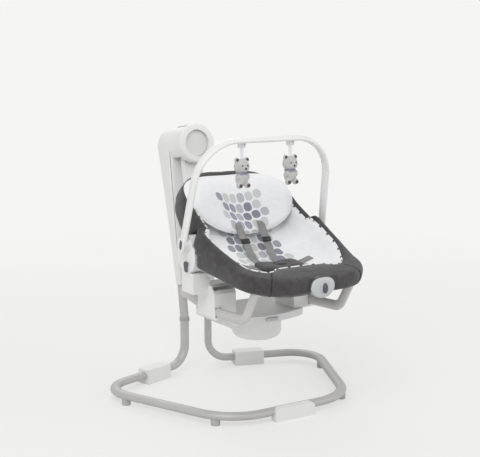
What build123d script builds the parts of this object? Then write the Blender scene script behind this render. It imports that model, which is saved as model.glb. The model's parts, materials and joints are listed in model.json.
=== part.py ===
from build123d import *
import math
import os

os.makedirs("parts", exist_ok=True)

# Baby swing, millimetres. X is left to right, the seat faces -Y, Z is up from the floor.

# Floor stand: an oval steel tube bent into a loop, with two posts at the back
TUBE_WIDE = 31.0
TUBE_TALL = 23.0
TUBE_WALL = 1.6
PAD_HEIGHT = 15.0
PAD_R = 13.0
PAD_SHARES = (0.17, 0.36, 0.64, 0.83)
LOOP_FRONT_Y = -252.0
LOOP_FRONT_CORNER_X = 199.0
LOOP_FRONT_BEND_R = 160.0
LOOP_SIDE_CORNER = (391.0, 180.0)
LOOP_SIDE_BEND_R = 95.0
POST_X = 43.0
POST_Y = 288.0
POST_BEND_R = 62.0
LOOP_JOINT = 0.37
COLLAR_Z = 170.0
COLLAR_HEIGHT = 12.0
COLLAR_WALL = 2.2
FRONT_PLATE_WIDTH = 132.0
FRONT_PLATE_HEIGHT = 38.0
FRONT_PLATE_DEPTH = 13.0
FOOT_REACH = 62.0
FOOT_LENGTH = 96.0
FOOT_HEIGHT = 24.0
FOOT_HALF_DEPTH = 21.7
FOOT_STEP = 3.1
FOOT_OVER_TUBE = 18.4

# Tower, in its own leaning frame that starts at the collars
LEAN = 8.5
TOWER_HALF_WIDTH = 60.0
TOWER_BOTTOM = 112.0
TOWER_FRONT = -19.0
TOWER_REAR_LOW = 17.0
TOWER_REAR_HIGH = 68.0
TOWER_SEAM = -2.0
TOWER_EDGE_R = 12.0
TOWER_REAR_EDGE_R = 16.0
WALL = 3.0
POST_TOP = 230.0
HEAD_Z = 552.0
HEAD_R = 60.0
HEAD_FRONT = -93.0
BEZEL_DEEP = 6.0
BEZEL_EDGE_R = 4.8
HEAD_REAR = 80.0
HEAD_REAR_R = 32.0
RING_WIDTH = 18.0
RING_DEPTH = 14.0
LENS_THICK = 4.0
BOARD_THICK = 1.6
PANEL_DROP = 5.0
PANEL_LENGTH = 58.0
PANEL_THICK = 3.0
BUTTON_R = 5.5
BUTTON_PITCH = 17.0
BUTTON_TRAVEL = 1.2
BUTTON_PROUD = 1.0
BULKHEAD = 6.0
SCREW_R = 2.0
SCREW_HEAD_R = 3.8
INLET_R = 6.5
INLET_BORE_R = 2.8

# Drive
SHAFT_R = 6.0
BEARING_R = 12.0
RUN_CLEARANCE = 0.05
CLEARANCE = 0.3
GEAR_MODULE = 2.0
GEAR_TEETH = 40
PINION_TEETH = 10
GEAR_WIDTH = 9.0
MOTOR_R = 17.0
MOTOR_LENGTH = 38.0
SWING_LIMIT = 15.0

# Swing arm, a hollow strip from the head to the dock under the seat
ARM_TOP_Y = -43.0
ARM_WIDE = 60.0
ARM_THICK = 24.0
ARM_SKIN = 2.5
ARM_KNEE = (238.0, 335.0)
ARM_HEEL = (225.0, 208.0)
ARM_TOE_Y = -52.0
ARM_KNEE_R = 500.0
ARM_HEEL_R = 66.0
HUB_BOSS_R = 24.0

# Dock
DOCK_TOP = 270.0
DOCK_THICK = 20.0
DOCK_HALF_WIDTH = 137.0
DOCK_FRONT_Y = -150.0
DOCK_CORNER_Y = -116.0
DOCK_REAR_Y = 62.0
TUB_Y = -70.0
TUB_R = 72.0
TUB_DEPTH = 58.0
TUB_EDGE_R = 24.0
PEG_X = 120.0
PEG_Y = -70.0
PEG_LONG = 44.0
PEG_WIDE = 20.0
PEG_HEIGHT = 14.0
LATCH_WIDE = 38.0
LATCH_TALL = 9.0
LATCH_DEEP = 4.0
LATCH_TRAVEL = 3.0
LATCH_PROUD = 4.5

# Rocker frame under the seat
RUNNER_X = 158.0
RUNNER_WIDE = 18.0
RUNNER_TALL = 29.0
RUNNER_LOW = (-92.0, 289.0)
RUNNER_FRONT = (-258.0, 299.0)
RISER_TOP = (-324.0, 404.0)
RUNNER_BACK = (66.0, 311.0)
RUNNER_REAR_Y = 106.0
RUNNER_BEND_R = 42.0
RUNNER_ROCK_R = 600.0
CROSS_BEND_R = 28.0
LEG_INNER_X = 99.0
LEG_OUTER_X = 171.0
LEG_FRONT_Y = -119.0
LEG_REAR_Y = -19.0
LEG_TOP = 368.0
LEG_TOP_R = 18.0
LEG_EDGE_R = 4.0
SHOULDER_FRONT = 40.0
SHOULDER_REAR = 26.0

# Hubs at the seat's sides
HUB_Y = -47.0
HUB_Z = 447.0
HUB_R = 50.0
HUB_FACE_X = 222.0
HUB_INNER_X = 196.0
DISC_R = 40.0
DISC_INNER_X = 174.0
PIN_R = 9.0
PIVOT_Y = -60.0
PIVOT_Z = 482.0
PIVOT_R = 20.0
PIVOT_PIN_R = 7.0
RECLINE_BUTTON_R = 12.0
RECLINE_BUTTON_AT = (-10.0, -29.0)
RECLINE_TRAVEL = 3.0
RECLINE_PROUD = 4.0

# Seat frame and soft parts
FRAME_R = 10.0
FRAME_WALL = 1.5
FRONT_SLOPE = 8.9
FRONT_REACH = 322.0
FRONT_HALF_WIDTH = 178.0
FRONT_HUB_X = 209.0
FRONT_BEND_R = 112.0
BACK_SLOPE = 41.6
BACK_REACH = 262.0
BACK_HALF_WIDTH = 170.0
BACK_HUB_X = 185.0
BACK_BEND_R = 136.0
RIM_SLOPE = 22.8
RIM_BACK_SLOPE = 34.0
RIM_FRONT_Z = 430.0
RIM_KNEE_Y = -290.0
RIM_THICK = 22.0
SLING_THICK = 5.0
SLING_DEPTH = 50.0
SLING_RUN_ON = 74.0
PAD_THICK = 24.0
SOFT_GAP = 0.4
HEAD_PAD_WIDE = 284.0
HEAD_PAD_TALL = 200.0
HEAD_PAD_THICK = 34.0
HEAD_PAD_AT = 134.0
HOLLOW_WIDE = 150.0
HOLLOW_TALL = 150.0
HOLLOW_DROP = 63.0
STRAP_WIDE = 24.0
STRAP_THICK = 2.4
SHOULDER_STRAP_LONG = 74.0
ADJUSTER_WIDE = 29.0
CROTCH_REACH = 205.0
CROTCH_WIDE = 120.0
CROTCH_LONG = 72.0
CROTCH_THICK = 7.0
BUCKLE_WIDE = 40.0
BUCKLE_LONG = 30.0
BUCKLE_THICK = 12.0
WAIST_STRAP_END_X = 128.0
STRAP_X = 42.0
MODULE_WIDE = 72.0
MODULE_TALL = 60.0
MODULE_DEEP = 26.0
MODULE_CORNER_R = 24.0
DIAL_R = 15.0
DIAL_DEEP = 9.0

# Toy bar and toys
BAR_DEEP = 30.0
BAR_THICK = 15.0
BAR_LEAN = 12.0
BAR_HALF_WIDTH = 212.0
BAR_FOOT_X = 236.0
BAR_HEIGHT = 293.0
BAR_BEND_R = 125.0
TOY_X = 81.0
TOY_DROP = 52.0
TOY_HEAD_R = 24.0
TOY_BODY_R = 20.4
TOY_BODY_DROP = 34.8
TOY_EAR_R = 8.2
TOY_EAR_OUT = 17.3
TOY_PAW_R = 8.6
TOY_PAW_OUT = 13.2
TOY_PAW_DROP = 18.0
TOY_PAW_FORWARD = 7.2
TOY_SUNK = 14.4
EYE_R = 2.5
EYE_WALL = 3.0
EYE_DROP = 7.0
CLIP_WIDE = 14.0


def yz_plate(points, x_low, x_high):
    """Closed outline of (Y, Z) points, made solid from x_low to x_high."""
    outline = make_face(Plane.YZ * Polyline(*points, close=True))
    return extrude(Pos(x_low, 0, 0) * outline, amount=x_high - x_low, dir=(1, 0, 0))


def block(x_span, y_span, z_span):
    """Box between two values along each axis."""
    size = [high - low for low, high in (x_span, y_span, z_span)]
    middle = [(low + high) / 2 for low, high in (x_span, y_span, z_span)]
    return Pos(*middle) * Box(*size)


def rod_x(y, z, radius, x_low, x_high):
    """Cylinder along X."""
    return Pos((x_low + x_high) / 2, y, z) * Rot(0, 90, 0) * Cylinder(radius, x_high - x_low)


def rod_y(x, z, radius, y_low, y_high):
    """Cylinder along Y."""
    return Pos(x, (y_low + y_high) / 2, z) * Rot(90, 0, 0) * Cylinder(radius, y_high - y_low)


def standing_rod(radius, height):
    """Upright cylinder with its foot at the origin."""
    return Cylinder(radius, height, align=(Align.CENTER, Align.CENTER, Align.MIN))


def oval_tube(path, across, wide, tall, wall):
    """Hollow oval tube along a flat path; wide is measured along the direction across."""
    start = Plane(origin=path @ 0, x_dir=across, z_dir=path % 0)
    ring = Ellipse(wide / 2, tall / 2) - Ellipse(wide / 2 - wall, tall / 2 - wall)
    return sweep(start * ring, path=path)


def oval_bar(path, across, wide, tall):
    """Solid oval bar along a flat path."""
    start = Plane(origin=path @ 0, x_dir=across, z_dir=path % 0)
    return sweep(start * Ellipse(wide / 2, tall / 2), path=path)


def mirrored(shape):
    """The same piece on the other side of the seat."""
    return mirror(shape, about=Plane.YZ)


def group(*shapes):
    """Several solids kept apart in one node."""
    return Compound([solid for shape in shapes for solid in shape.solids()])


def pair(shape):
    """Left and right copies as two solids in one node."""
    return group(shape, mirrored(shape))


# Floor stand
tube_z = PAD_HEIGHT + TUBE_TALL / 2
corner_x, corner_y = LOOP_SIDE_CORNER
joint_x = POST_X + LOOP_JOINT * (corner_x - POST_X)
joint_y = POST_Y + LOOP_JOINT * (corner_y - POST_Y)
heading = math.degrees(math.atan2(POST_Y - corner_y, corner_x - POST_X))

loop_path = FilletPolyline(
    (-joint_x, joint_y, tube_z),
    (-corner_x, corner_y, tube_z),
    (-LOOP_FRONT_CORNER_X, LOOP_FRONT_Y, tube_z),
    (LOOP_FRONT_CORNER_X, LOOP_FRONT_Y, tube_z),
    (corner_x, corner_y, tube_z),
    (joint_x, joint_y, tube_z),
    radius=[LOOP_SIDE_BEND_R, LOOP_FRONT_BEND_R, LOOP_FRONT_BEND_R, LOOP_SIDE_BEND_R],
)
loop_across = (loop_path % 0).cross(Vector(0, 0, 1))
base_loop = oval_tube(loop_path, loop_across, TUBE_WIDE, TUBE_TALL, TUBE_WALL)

leg_path = FilletPolyline(
    (joint_x, joint_y, tube_z), (POST_X, POST_Y, tube_z), (POST_X, POST_Y, COLLAR_Z), radius=POST_BEND_R
)
leg_across = (leg_path % 0).cross(Vector(0, 0, 1))
rear_leg_right = oval_tube(leg_path, leg_across, TUBE_WIDE, TUBE_TALL, TUBE_WALL)

tower_frame = Pos(0, POST_Y, COLLAR_Z) * Rot(-LEAN, 0, 0)
post_turn = Rot(0, 0, -heading)
post_ring = Ellipse(TUBE_TALL / 2, TUBE_WIDE / 2)
post_ring -= Ellipse(TUBE_TALL / 2 - TUBE_WALL, TUBE_WIDE / 2 - TUBE_WALL)
post_start = COLLAR_HEIGHT / 2
post_local = Pos(POST_X, 0, post_start) * post_turn * extrude(post_ring, amount=POST_TOP - post_start)
post_right = tower_frame * post_local
collar_face = Ellipse(TUBE_TALL / 2 + COLLAR_WALL, TUBE_WIDE / 2 + COLLAR_WALL)
collar_solid = extrude(collar_face, amount=COLLAR_HEIGHT / 2, both=True)
collar_right = tower_frame * Pos(POST_X, 0, 0) * post_turn * collar_solid
collar_right -= rear_leg_right
collar_right -= tower_frame * Pos(POST_X, 0, post_start) * post_turn * extrude(
    Ellipse(TUBE_TALL / 2, TUBE_WIDE / 2), amount=COLLAR_HEIGHT
)

loop_solid = oval_bar(loop_path, loop_across, TUBE_WIDE, TUBE_TALL)
pad_places = [loop_path @ share for share in PAD_SHARES]
foot_pads = [Pos(place.X, place.Y, 0) * standing_rod(PAD_R, tube_z) - loop_solid for place in pad_places]

front_plate = block(
    (-FRONT_PLATE_WIDTH / 2, FRONT_PLATE_WIDTH / 2),
    (LOOP_FRONT_Y - TUBE_WIDE / 2 - FRONT_PLATE_DEPTH / 2, LOOP_FRONT_Y),
    (0, FRONT_PLATE_HEIGHT),
)
front_plate = fillet(front_plate.edges().filter_by(Axis.Y).group_by(Axis.Z)[-1], FRONT_PLATE_HEIGHT / 3)
front_plate = max((front_plate - loop_solid).solids(), key=lambda solid: solid.volume)

foot_frame = Pos(joint_x, joint_y, 0) * Rot(0, 0, -heading)
foot_top = tube_z + FOOT_OVER_TUBE
foot_side = [
    (-FOOT_HALF_DEPTH, 0),
    (FOOT_REACH, 0),
    (FOOT_REACH, FOOT_HEIGHT / 4),
    (FOOT_HALF_DEPTH + FOOT_STEP, FOOT_HEIGHT),
    (FOOT_HALF_DEPTH, foot_top),
    (-FOOT_HALF_DEPTH, foot_top),
]
rear_foot_right = foot_frame * yz_plate(foot_side, -FOOT_LENGTH / 2, FOOT_LENGTH / 2)
leg_solid = oval_bar(leg_path, leg_across, TUBE_WIDE, TUBE_TALL)
rear_foot_right = rear_foot_right - loop_solid - leg_solid
rear_foot_right = max(rear_foot_right.solids(), key=lambda solid: solid.volume)

# Tower shells
side_bottom = (TOWER_FRONT, TOWER_BOTTOM)
column_outline = [
    Line(side_bottom, (TOWER_FRONT, HEAD_Z)),
    Line((TOWER_FRONT, HEAD_Z), (TOWER_REAR_HIGH, HEAD_Z)),
    ThreePointArc(
        (TOWER_REAR_HIGH, HEAD_Z),
        ((TOWER_REAR_LOW + TOWER_REAR_HIGH) / 2 + WALL, (TOWER_BOTTOM + HEAD_Z) / 2 + HEAD_R),
        (TOWER_REAR_LOW, TOWER_BOTTOM),
    ),
    Line((TOWER_REAR_LOW, TOWER_BOTTOM), side_bottom),
]
column_face = make_face([Plane.YZ * edge for edge in column_outline])
column = extrude(column_face, amount=TOWER_HALF_WIDTH, both=True, dir=(1, 0, 0))
column = fillet(column.edges().filter_by(Axis.Z).group_by(Axis.Y)[0], TOWER_EDGE_R)
column = fillet(column.edges().filter_by(GeomType.CIRCLE).sort_by(Axis.Y)[-2:], TOWER_REAR_EDGE_R)
column_core = extrude(offset(column_face, -WALL), amount=TOWER_HALF_WIDTH - WALL, both=True, dir=(1, 0, 0))
head = rod_y(0, HEAD_Z, HEAD_R, HEAD_FRONT, HEAD_REAR)
head = fillet(head.edges().filter_by(GeomType.CIRCLE).sort_by(Axis.Y)[-1], HEAD_REAR_R)
head_core = rod_y(0, HEAD_Z, HEAD_R - WALL, HEAD_FRONT + RING_DEPTH + BULKHEAD, HEAD_REAR - WALL)
head_core = fillet(head_core.edges().filter_by(GeomType.CIRCLE).sort_by(Axis.Y)[-1], HEAD_REAR_R - WALL)
post_hole = Pos(POST_X, 0, 0) * post_turn * extrude(
    Ellipse(TUBE_TALL / 2, TUBE_WIDE / 2), amount=POST_TOP + CLEARANCE
)
post_holes = post_hole + mirrored(post_hole)
socket = Pos(0, (TOWER_FRONT + TOWER_REAR_LOW) / 2, (TOWER_BOTTOM + POST_TOP) / 2) * Box(
    2 * TOWER_HALF_WIDTH - 2 * WALL, TOWER_REAR_LOW - TOWER_FRONT - 2 * WALL, POST_TOP - TOWER_BOTTOM
)
slot_half = math.radians(SWING_LIMIT) + math.asin(ARM_WIDE / 2 / HEAD_R) + math.radians(4)
slot_reach = 2 * HEAD_R
slot_points = [
    (0, 0),
    (-slot_reach * math.sin(slot_half), -slot_reach * math.cos(slot_half)),
    (slot_reach * math.sin(slot_half), -slot_reach * math.cos(slot_half)),
]
slot_front = ARM_TOP_Y - ARM_THICK
slot_back = TOWER_FRONT
arm_slot = Pos(0, slot_back, HEAD_Z) * extrude(
    Plane.XZ * make_face(Polyline(*slot_points, close=True)), amount=slot_back - slot_front, dir=(0, -1, 0)
)
bulkhead_back = TOWER_FRONT + BULKHEAD + WALL
bulkhead = rod_y(0, HEAD_Z, HEAD_R - WALL, TOWER_FRONT, bulkhead_back)
ring_recess = rod_y(0, HEAD_Z, HEAD_R - RING_WIDTH, HEAD_FRONT, HEAD_FRONT + RING_DEPTH)
bearing_bore = rod_y(0, HEAD_Z, BEARING_R, HEAD_FRONT + RING_DEPTH + BOARD_THICK, bulkhead_back)
panel_z = HEAD_Z + HEAD_R - PANEL_DROP
panel_half = math.sqrt(HEAD_R**2 - (HEAD_R - PANEL_DROP) ** 2)
panel_front = HEAD_FRONT + RING_DEPTH
panel_cut = block(
    (-HEAD_R, HEAD_R), (panel_front, panel_front + PANEL_LENGTH), (panel_z, panel_z + HEAD_R)
)
panel_floor = block(
    (-panel_half, panel_half), (panel_front, panel_front + PANEL_LENGTH), (panel_z - WALL, panel_z)
)
shell = column + head
cavity = column_core + head_core
shell = shell - cavity
shell = shell + (socket & column) - post_holes
shell = shell + bulkhead + (panel_floor & head)
shell = shell - arm_slot - ring_recess - bearing_bore - panel_cut
front_space = block((-HEAD_R * 3, HEAD_R * 3), (HEAD_FRONT - HEAD_R, TOWER_SEAM), (0, HEAD_Z + 2 * HEAD_R))
rear_space = block((-HEAD_R * 3, HEAD_R * 3), (TOWER_SEAM, HEAD_REAR + HEAD_R), (0, HEAD_Z + 2 * HEAD_R))
tower_front = shell & front_space
tower_rear = shell & rear_space

bezel = rod_y(0, HEAD_Z, HEAD_R, HEAD_FRONT - BEZEL_DEEP, HEAD_FRONT)
bezel = fillet(bezel.edges().filter_by(GeomType.CIRCLE).sort_by(Axis.Y)[0], BEZEL_EDGE_R)
bezel -= rod_y(0, HEAD_Z, HEAD_R - RING_WIDTH, HEAD_FRONT - BEZEL_DEEP, HEAD_FRONT)
recess_floor = HEAD_FRONT + RING_DEPTH
lens_r = HEAD_R - RING_WIDTH - CLEARANCE
lens_back = recess_floor - BOARD_THICK
lens = rod_y(0, HEAD_Z, lens_r, lens_back - 2 * LENS_THICK, recess_floor)
lens = fillet(lens.edges().filter_by(GeomType.CIRCLE).sort_by(Axis.Y)[0], LENS_THICK)
light_board_r = lens_r - LENS_THICK
lens -= rod_y(0, HEAD_Z, light_board_r, lens_back - LENS_THICK, recess_floor)
light_board = rod_y(0, HEAD_Z, light_board_r - CLEARANCE, lens_back, recess_floor)

# Control panel on top of the head
panel_middle = panel_front + PANEL_LENGTH / 2
panel = block(
    (-panel_half + CLEARANCE, panel_half - CLEARANCE),
    (panel_front + CLEARANCE, panel_front + PANEL_LENGTH - CLEARANCE),
    (panel_z, panel_z + PANEL_THICK),
)
button_places = [panel_middle + (i - 1) * BUTTON_PITCH for i in range(3)]
button_foot = panel_z - BUTTON_TRAVEL - CLEARANCE
button_top = panel_z + PANEL_THICK + BUTTON_PROUD
buttons = []
for place in button_places:
    at = Pos(0, place, button_foot)
    hole = at * standing_rod(BUTTON_R + RUN_CLEARANCE, PANEL_THICK * 3)
    buttons.append(Pos(0, place, panel_z) * standing_rod(BUTTON_R, button_top - panel_z))
    panel -= hole
    tower_front -= hole
circuit_board = block(
    (-panel_half + WALL, panel_half - WALL),
    (panel_front + BULKHEAD, panel_front + PANEL_LENGTH - BULKHEAD),
    (panel_z - WALL - BOARD_THICK, panel_z - WALL),
)

# Shaft, bearings, gear pair and motor
front_bearing_y = (recess_floor + BOARD_THICK, recess_floor + BULKHEAD)
rear_bearing_y = (TOWER_FRONT, bulkhead_back)


def bearing(y_span):
    """Plain bearing ring round the shaft."""
    return rod_y(0, HEAD_Z, BEARING_R, *y_span) - rod_y(0, HEAD_Z, SHAFT_R + RUN_CLEARANCE, *y_span)


def toothed_wheel(teeth, width):
    """Spur gear with short straight-sided teeth that leave room in the mesh."""
    pitch_r = GEAR_MODULE * teeth / 2
    root_r = pitch_r - 0.75 * GEAR_MODULE
    tip_r = pitch_r + 0.6 * GEAR_MODULE
    pitch = math.tau / teeth
    points = []
    for i in range(teeth):
        for share, radius in ((-0.30, root_r), (-0.12, tip_r), (0.12, tip_r), (0.30, root_r)):
            angle = (i + share) * pitch
            points.append((radius * math.cos(angle), radius * math.sin(angle)))
    return extrude(Plane.XZ * make_face(Polyline(*points, close=True)), amount=width, dir=(0, 1, 0))


gear_y = bulkhead_back + 2.0
gear_back = gear_y + GEAR_WIDTH
mesh_distance = GEAR_MODULE * (GEAR_TEETH + PINION_TEETH) / 2
motor_z = HEAD_Z - mesh_distance
shaft = rod_y(0, HEAD_Z, SHAFT_R, front_bearing_y[0] + CLEARANCE, gear_back + WALL)
gear = Pos(0, gear_y, HEAD_Z) * Rot(0, 90, 0) * toothed_wheel(GEAR_TEETH, GEAR_WIDTH) - shaft
pinion_turn = 90 + 180 / PINION_TEETH
pinion = Pos(0, gear_y, motor_z) * Rot(0, -pinion_turn, 0) * toothed_wheel(PINION_TEETH, GEAR_WIDTH)
bracket_y = gear_back + WALL + CLEARANCE
motor_y = bracket_y + WALL
pinion_shaft_r = SHAFT_R / 2
pinion += rod_y(0, motor_z, pinion_shaft_r, gear_y, motor_y + MOTOR_LENGTH / 2)
motor_bracket = block(
    (-TOWER_HALF_WIDTH + WALL, TOWER_HALF_WIDTH - WALL),
    (bracket_y, motor_y),
    (motor_z - MOTOR_R - WALL, motor_z + MOTOR_R + WALL),
) - rod_y(0, motor_z, pinion_shaft_r + CLEARANCE, bracket_y, motor_y)
motor = rod_y(0, motor_z, MOTOR_R, motor_y, motor_y + MOTOR_LENGTH)
motor -= rod_y(0, motor_z, pinion_shaft_r + RUN_CLEARANCE, motor_y, motor_y + MOTOR_LENGTH / 2 + WALL)

# Screws that hold the rear cover, and the power inlet, all in the solid socket round the posts
screw_face = TOWER_REAR_LOW - WALL
screws = []
for screw_z in (POST_TOP - 3 * SCREW_HEAD_R, (TOWER_BOTTOM + POST_TOP) / 2):
    head_of_screw = rod_y(0, screw_z, SCREW_HEAD_R, screw_face - WALL, screw_face)
    screw = head_of_screw + rod_y(0, screw_z, SCREW_R, TOWER_FRONT + 2 * WALL, screw_face - WALL)
    screws.append(screw)
    tower_rear -= rod_y(0, screw_z, SCREW_HEAD_R, screw_face - WALL, TOWER_REAR_HIGH)
    tower_rear -= screw
    tower_front -= screw
inlet_z = TOWER_BOTTOM + 2.5 * INLET_R
inlet = rod_y(0, inlet_z, INLET_R, screw_face - 2 * BULKHEAD, screw_face)
inlet -= rod_y(0, inlet_z, INLET_BORE_R, screw_face - 2 * BULKHEAD + WALL, screw_face)
tower_rear -= rod_y(0, inlet_z, INLET_R, screw_face - 2 * BULKHEAD, TOWER_REAR_HIGH)

# Swing arm
head_centre = tower_frame * Pos(0, ARM_TOP_Y, HEAD_Z)
head_y, head_z = head_centre.position.Y, head_centre.position.Z
arm_path = FilletPolyline(
    (0, head_y, head_z),
    (0, *ARM_KNEE),
    (0, *ARM_HEEL),
    (0, ARM_TOE_Y, ARM_HEEL[1]),
    radius=[ARM_KNEE_R, ARM_HEEL_R],
)
arm_plane = Plane(origin=arm_path @ 0, x_dir=(1, 0, 0), z_dir=arm_path % 0)
arm_inside = ARM_THICK / 2 - ARM_SKIN


def arm_sweep(section):
    """A section swept down the arm's line."""
    return sweep(arm_plane * section, path=arm_path)


half_skin = Pos(0, ARM_THICK / 4) * Rectangle(ARM_WIDE, ARM_THICK / 2)
half_skin -= Pos(0, arm_inside / 2) * Rectangle(ARM_WIDE - 2 * ARM_SKIN, arm_inside)
arm_shell_a = arm_sweep(half_skin)
arm_shell_b = arm_sweep(mirror(half_skin, about=Plane.XZ))
tube_wide = ARM_WIDE - 6 * ARM_SKIN
tube_section = Rectangle(tube_wide, 2 * arm_inside)
tube_section -= Rectangle(tube_wide - 2 * TUBE_WALL, 2 * arm_inside - 2 * TUBE_WALL)
arm_tube = arm_sweep(tube_section)
arm_outer = arm_sweep(Rectangle(ARM_WIDE, ARM_THICK))
boss_span = (ARM_TOP_Y - HUB_BOSS_R + 2 * CLEARANCE, ARM_TOP_Y + HUB_BOSS_R - BULKHEAD)
arm_boss = tower_frame * (rod_y(0, HEAD_Z, HUB_BOSS_R, *boss_span) - shaft)
boss_room = tower_frame * rod_y(0, HEAD_Z, HUB_BOSS_R, boss_span[0] - ARM_THICK, boss_span[1] + ARM_THICK)


def below_boss(shape):
    """What is left of an arm piece under the boss."""
    return min((shape - boss_room).solids(), key=lambda solid: solid.center().Z)


arm_shell_a = below_boss(arm_shell_a)
arm_shell_b = below_boss(arm_shell_b)
arm_tube = below_boss(arm_tube)

# Dock under the seat
dock_outline = [
    ThreePointArc((-DOCK_HALF_WIDTH, DOCK_CORNER_Y), (0, DOCK_FRONT_Y), (DOCK_HALF_WIDTH, DOCK_CORNER_Y)),
    Line((DOCK_HALF_WIDTH, DOCK_CORNER_Y), (DOCK_HALF_WIDTH, DOCK_REAR_Y)),
    Line((DOCK_HALF_WIDTH, DOCK_REAR_Y), (-DOCK_HALF_WIDTH, DOCK_REAR_Y)),
    Line((-DOCK_HALF_WIDTH, DOCK_REAR_Y), (-DOCK_HALF_WIDTH, DOCK_CORNER_Y)),
]
dock_face = fillet(make_face(dock_outline).vertices(), TUB_EDGE_R)
dock_low = DOCK_TOP - DOCK_THICK
platform = Pos(0, 0, dock_low) * extrude(dock_face, amount=DOCK_THICK)
platform -= Pos(0, 0, dock_low) * extrude(offset(dock_face, -WALL), amount=DOCK_THICK - WALL)
peg = block(
    (PEG_X - PEG_WIDE / 2, PEG_X + PEG_WIDE / 2),
    (PEG_Y - PEG_LONG / 2, PEG_Y + PEG_LONG / 2),
    (DOCK_TOP, DOCK_TOP + PEG_HEIGHT),
)
platform = platform + peg + mirrored(peg)
latch_z = dock_low + (DOCK_THICK - WALL) / 2
latch = block(
    (-LATCH_WIDE / 2, LATCH_WIDE / 2),
    (DOCK_FRONT_Y - LATCH_PROUD, DOCK_FRONT_Y + LATCH_DEEP),
    (latch_z - LATCH_TALL / 2, latch_z + LATCH_TALL / 2),
)
platform -= block(
    (-LATCH_WIDE / 2 - RUN_CLEARANCE, LATCH_WIDE / 2 + RUN_CLEARANCE),
    (DOCK_FRONT_Y - LATCH_PROUD, DOCK_FRONT_Y + LATCH_DEEP),
    (latch_z - LATCH_TALL / 2 - RUN_CLEARANCE, latch_z + LATCH_TALL / 2 + RUN_CLEARANCE),
)
tub_top = DOCK_TOP - WALL
tub_bottom = dock_low - TUB_DEPTH
tub = Pos(0, TUB_Y, tub_bottom) * standing_rod(TUB_R, tub_top - tub_bottom)
tub = fillet(tub.edges().filter_by(GeomType.CIRCLE).sort_by(Axis.Z)[0], TUB_EDGE_R)
tub_core = Pos(0, TUB_Y, tub_bottom + WALL) * standing_rod(TUB_R - WALL, tub_top - tub_bottom)
tub_core = fillet(tub_core.edges().filter_by(GeomType.CIRCLE).sort_by(Axis.Z)[0], TUB_EDGE_R - WALL)
tub = max((tub - tub_core - arm_outer).solids(), key=lambda solid: solid.volume)

# Rocker frame
runner_path = FilletPolyline(
    (RUNNER_X, *RISER_TOP),
    (RUNNER_X, *RUNNER_FRONT),
    (RUNNER_X, *RUNNER_LOW),
    (RUNNER_X, *RUNNER_BACK),
    radius=[RUNNER_BEND_R, RUNNER_ROCK_R],
)
runner_solid = oval_bar(runner_path, (1, 0, 0), RUNNER_WIDE, RUNNER_TALL)
runner_right = oval_tube(runner_path, (1, 0, 0), RUNNER_WIDE, RUNNER_TALL, FRAME_WALL)
runner_start = Plane(origin=runner_path @ 0, x_dir=(1, 0, 0), z_dir=runner_path % 0)
runner_channel = sweep(runner_start * Rectangle(RUNNER_WIDE, RUNNER_TALL), path=runner_path)
rear_rise = (RUNNER_BACK[1] - RUNNER_LOW[1]) / (RUNNER_BACK[0] - RUNNER_LOW[0])
rear_z = RUNNER_BACK[1] + rear_rise * (RUNNER_REAR_Y - RUNNER_BACK[0])
cross_path = FilletPolyline(
    (-RUNNER_X, *RUNNER_BACK),
    (-RUNNER_X, RUNNER_REAR_Y, rear_z),
    (RUNNER_X, RUNNER_REAR_Y, rear_z),
    (RUNNER_X, *RUNNER_BACK),
    radius=CROSS_BEND_R,
)
rear_cross_tube = oval_tube(cross_path, (1, 0, 0), RUNNER_WIDE, RUNNER_TALL, FRAME_WALL)

# Hubs and the legs that stand on the dock
hub = rod_x(HUB_Y, HUB_Z, HUB_R, HUB_INNER_X, HUB_FACE_X)
hub_edge = hub.edges().filter_by(GeomType.CIRCLE).sort_by(Axis.X)[-1]
hub = fillet(hub_edge, BULKHEAD)
hub += rod_x(PIVOT_Y, PIVOT_Z, PIVOT_R + BULKHEAD, HUB_INNER_X, HUB_FACE_X)
hub_solid = hub
pin_end = HUB_INNER_X + (HUB_FACE_X - HUB_INNER_X) / 2
hinge_pin = rod_x(HUB_Y, HUB_Z, PIN_R, DISC_INNER_X, pin_end)
hub -= hinge_pin
button_y = HUB_Y + RECLINE_BUTTON_AT[0]
button_z = HUB_Z + RECLINE_BUTTON_AT[1]
button_inner = (HUB_FACE_X + HUB_INNER_X) / 2
recline_button = rod_x(button_y, button_z, RECLINE_BUTTON_R, button_inner, HUB_FACE_X + RECLINE_PROUD)
button_room = button_inner - 2 * RECLINE_TRAVEL
hub -= rod_x(button_y, button_z, RECLINE_BUTTON_R + RUN_CLEARANCE, button_room, HUB_FACE_X)
pivot_pin_start = HUB_INNER_X + WALL
hub -= rod_x(PIVOT_Y, PIVOT_Z, PIVOT_PIN_R + RUN_CLEARANCE, pivot_pin_start, HUB_FACE_X)

leg_low = DOCK_TOP + CLEARANCE
leg_side = [
    (LEG_FRONT_Y, leg_low),
    (LEG_FRONT_Y + WALL, LEG_TOP - HUB_R / 2),
    (LEG_FRONT_Y + 2 * PIN_R, LEG_TOP),
    (LEG_REAR_Y - PIN_R, LEG_TOP),
    (LEG_REAR_Y, leg_low),
]
leg = yz_plate(leg_side, LEG_INNER_X, LEG_OUTER_X)
leg = fillet(leg.edges().filter_by(Axis.X).group_by(Axis.Z)[-1], LEG_TOP_R)
leg = fillet(leg.edges().group_by(Axis.X)[-1], LEG_EDGE_R)
leg -= block(
    (LEG_INNER_X + WALL, LEG_OUTER_X - WALL),
    (LEG_FRONT_Y + 3 * WALL, LEG_REAR_Y - 3 * WALL),
    (leg_low, LEG_TOP - 2 * WALL),
)
shoulder_span = (HUB_Y - SHOULDER_FRONT, HUB_Y + SHOULDER_REAR)
shoulder_top = HUB_Z - DISC_R - 2 * WALL
shoulder = block(
    (LEG_OUTER_X - 2 * WALL, HUB_FACE_X - WALL),
    shoulder_span,
    (LEG_TOP - HUB_R / 2, shoulder_top - 5 * WALL),
)
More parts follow.
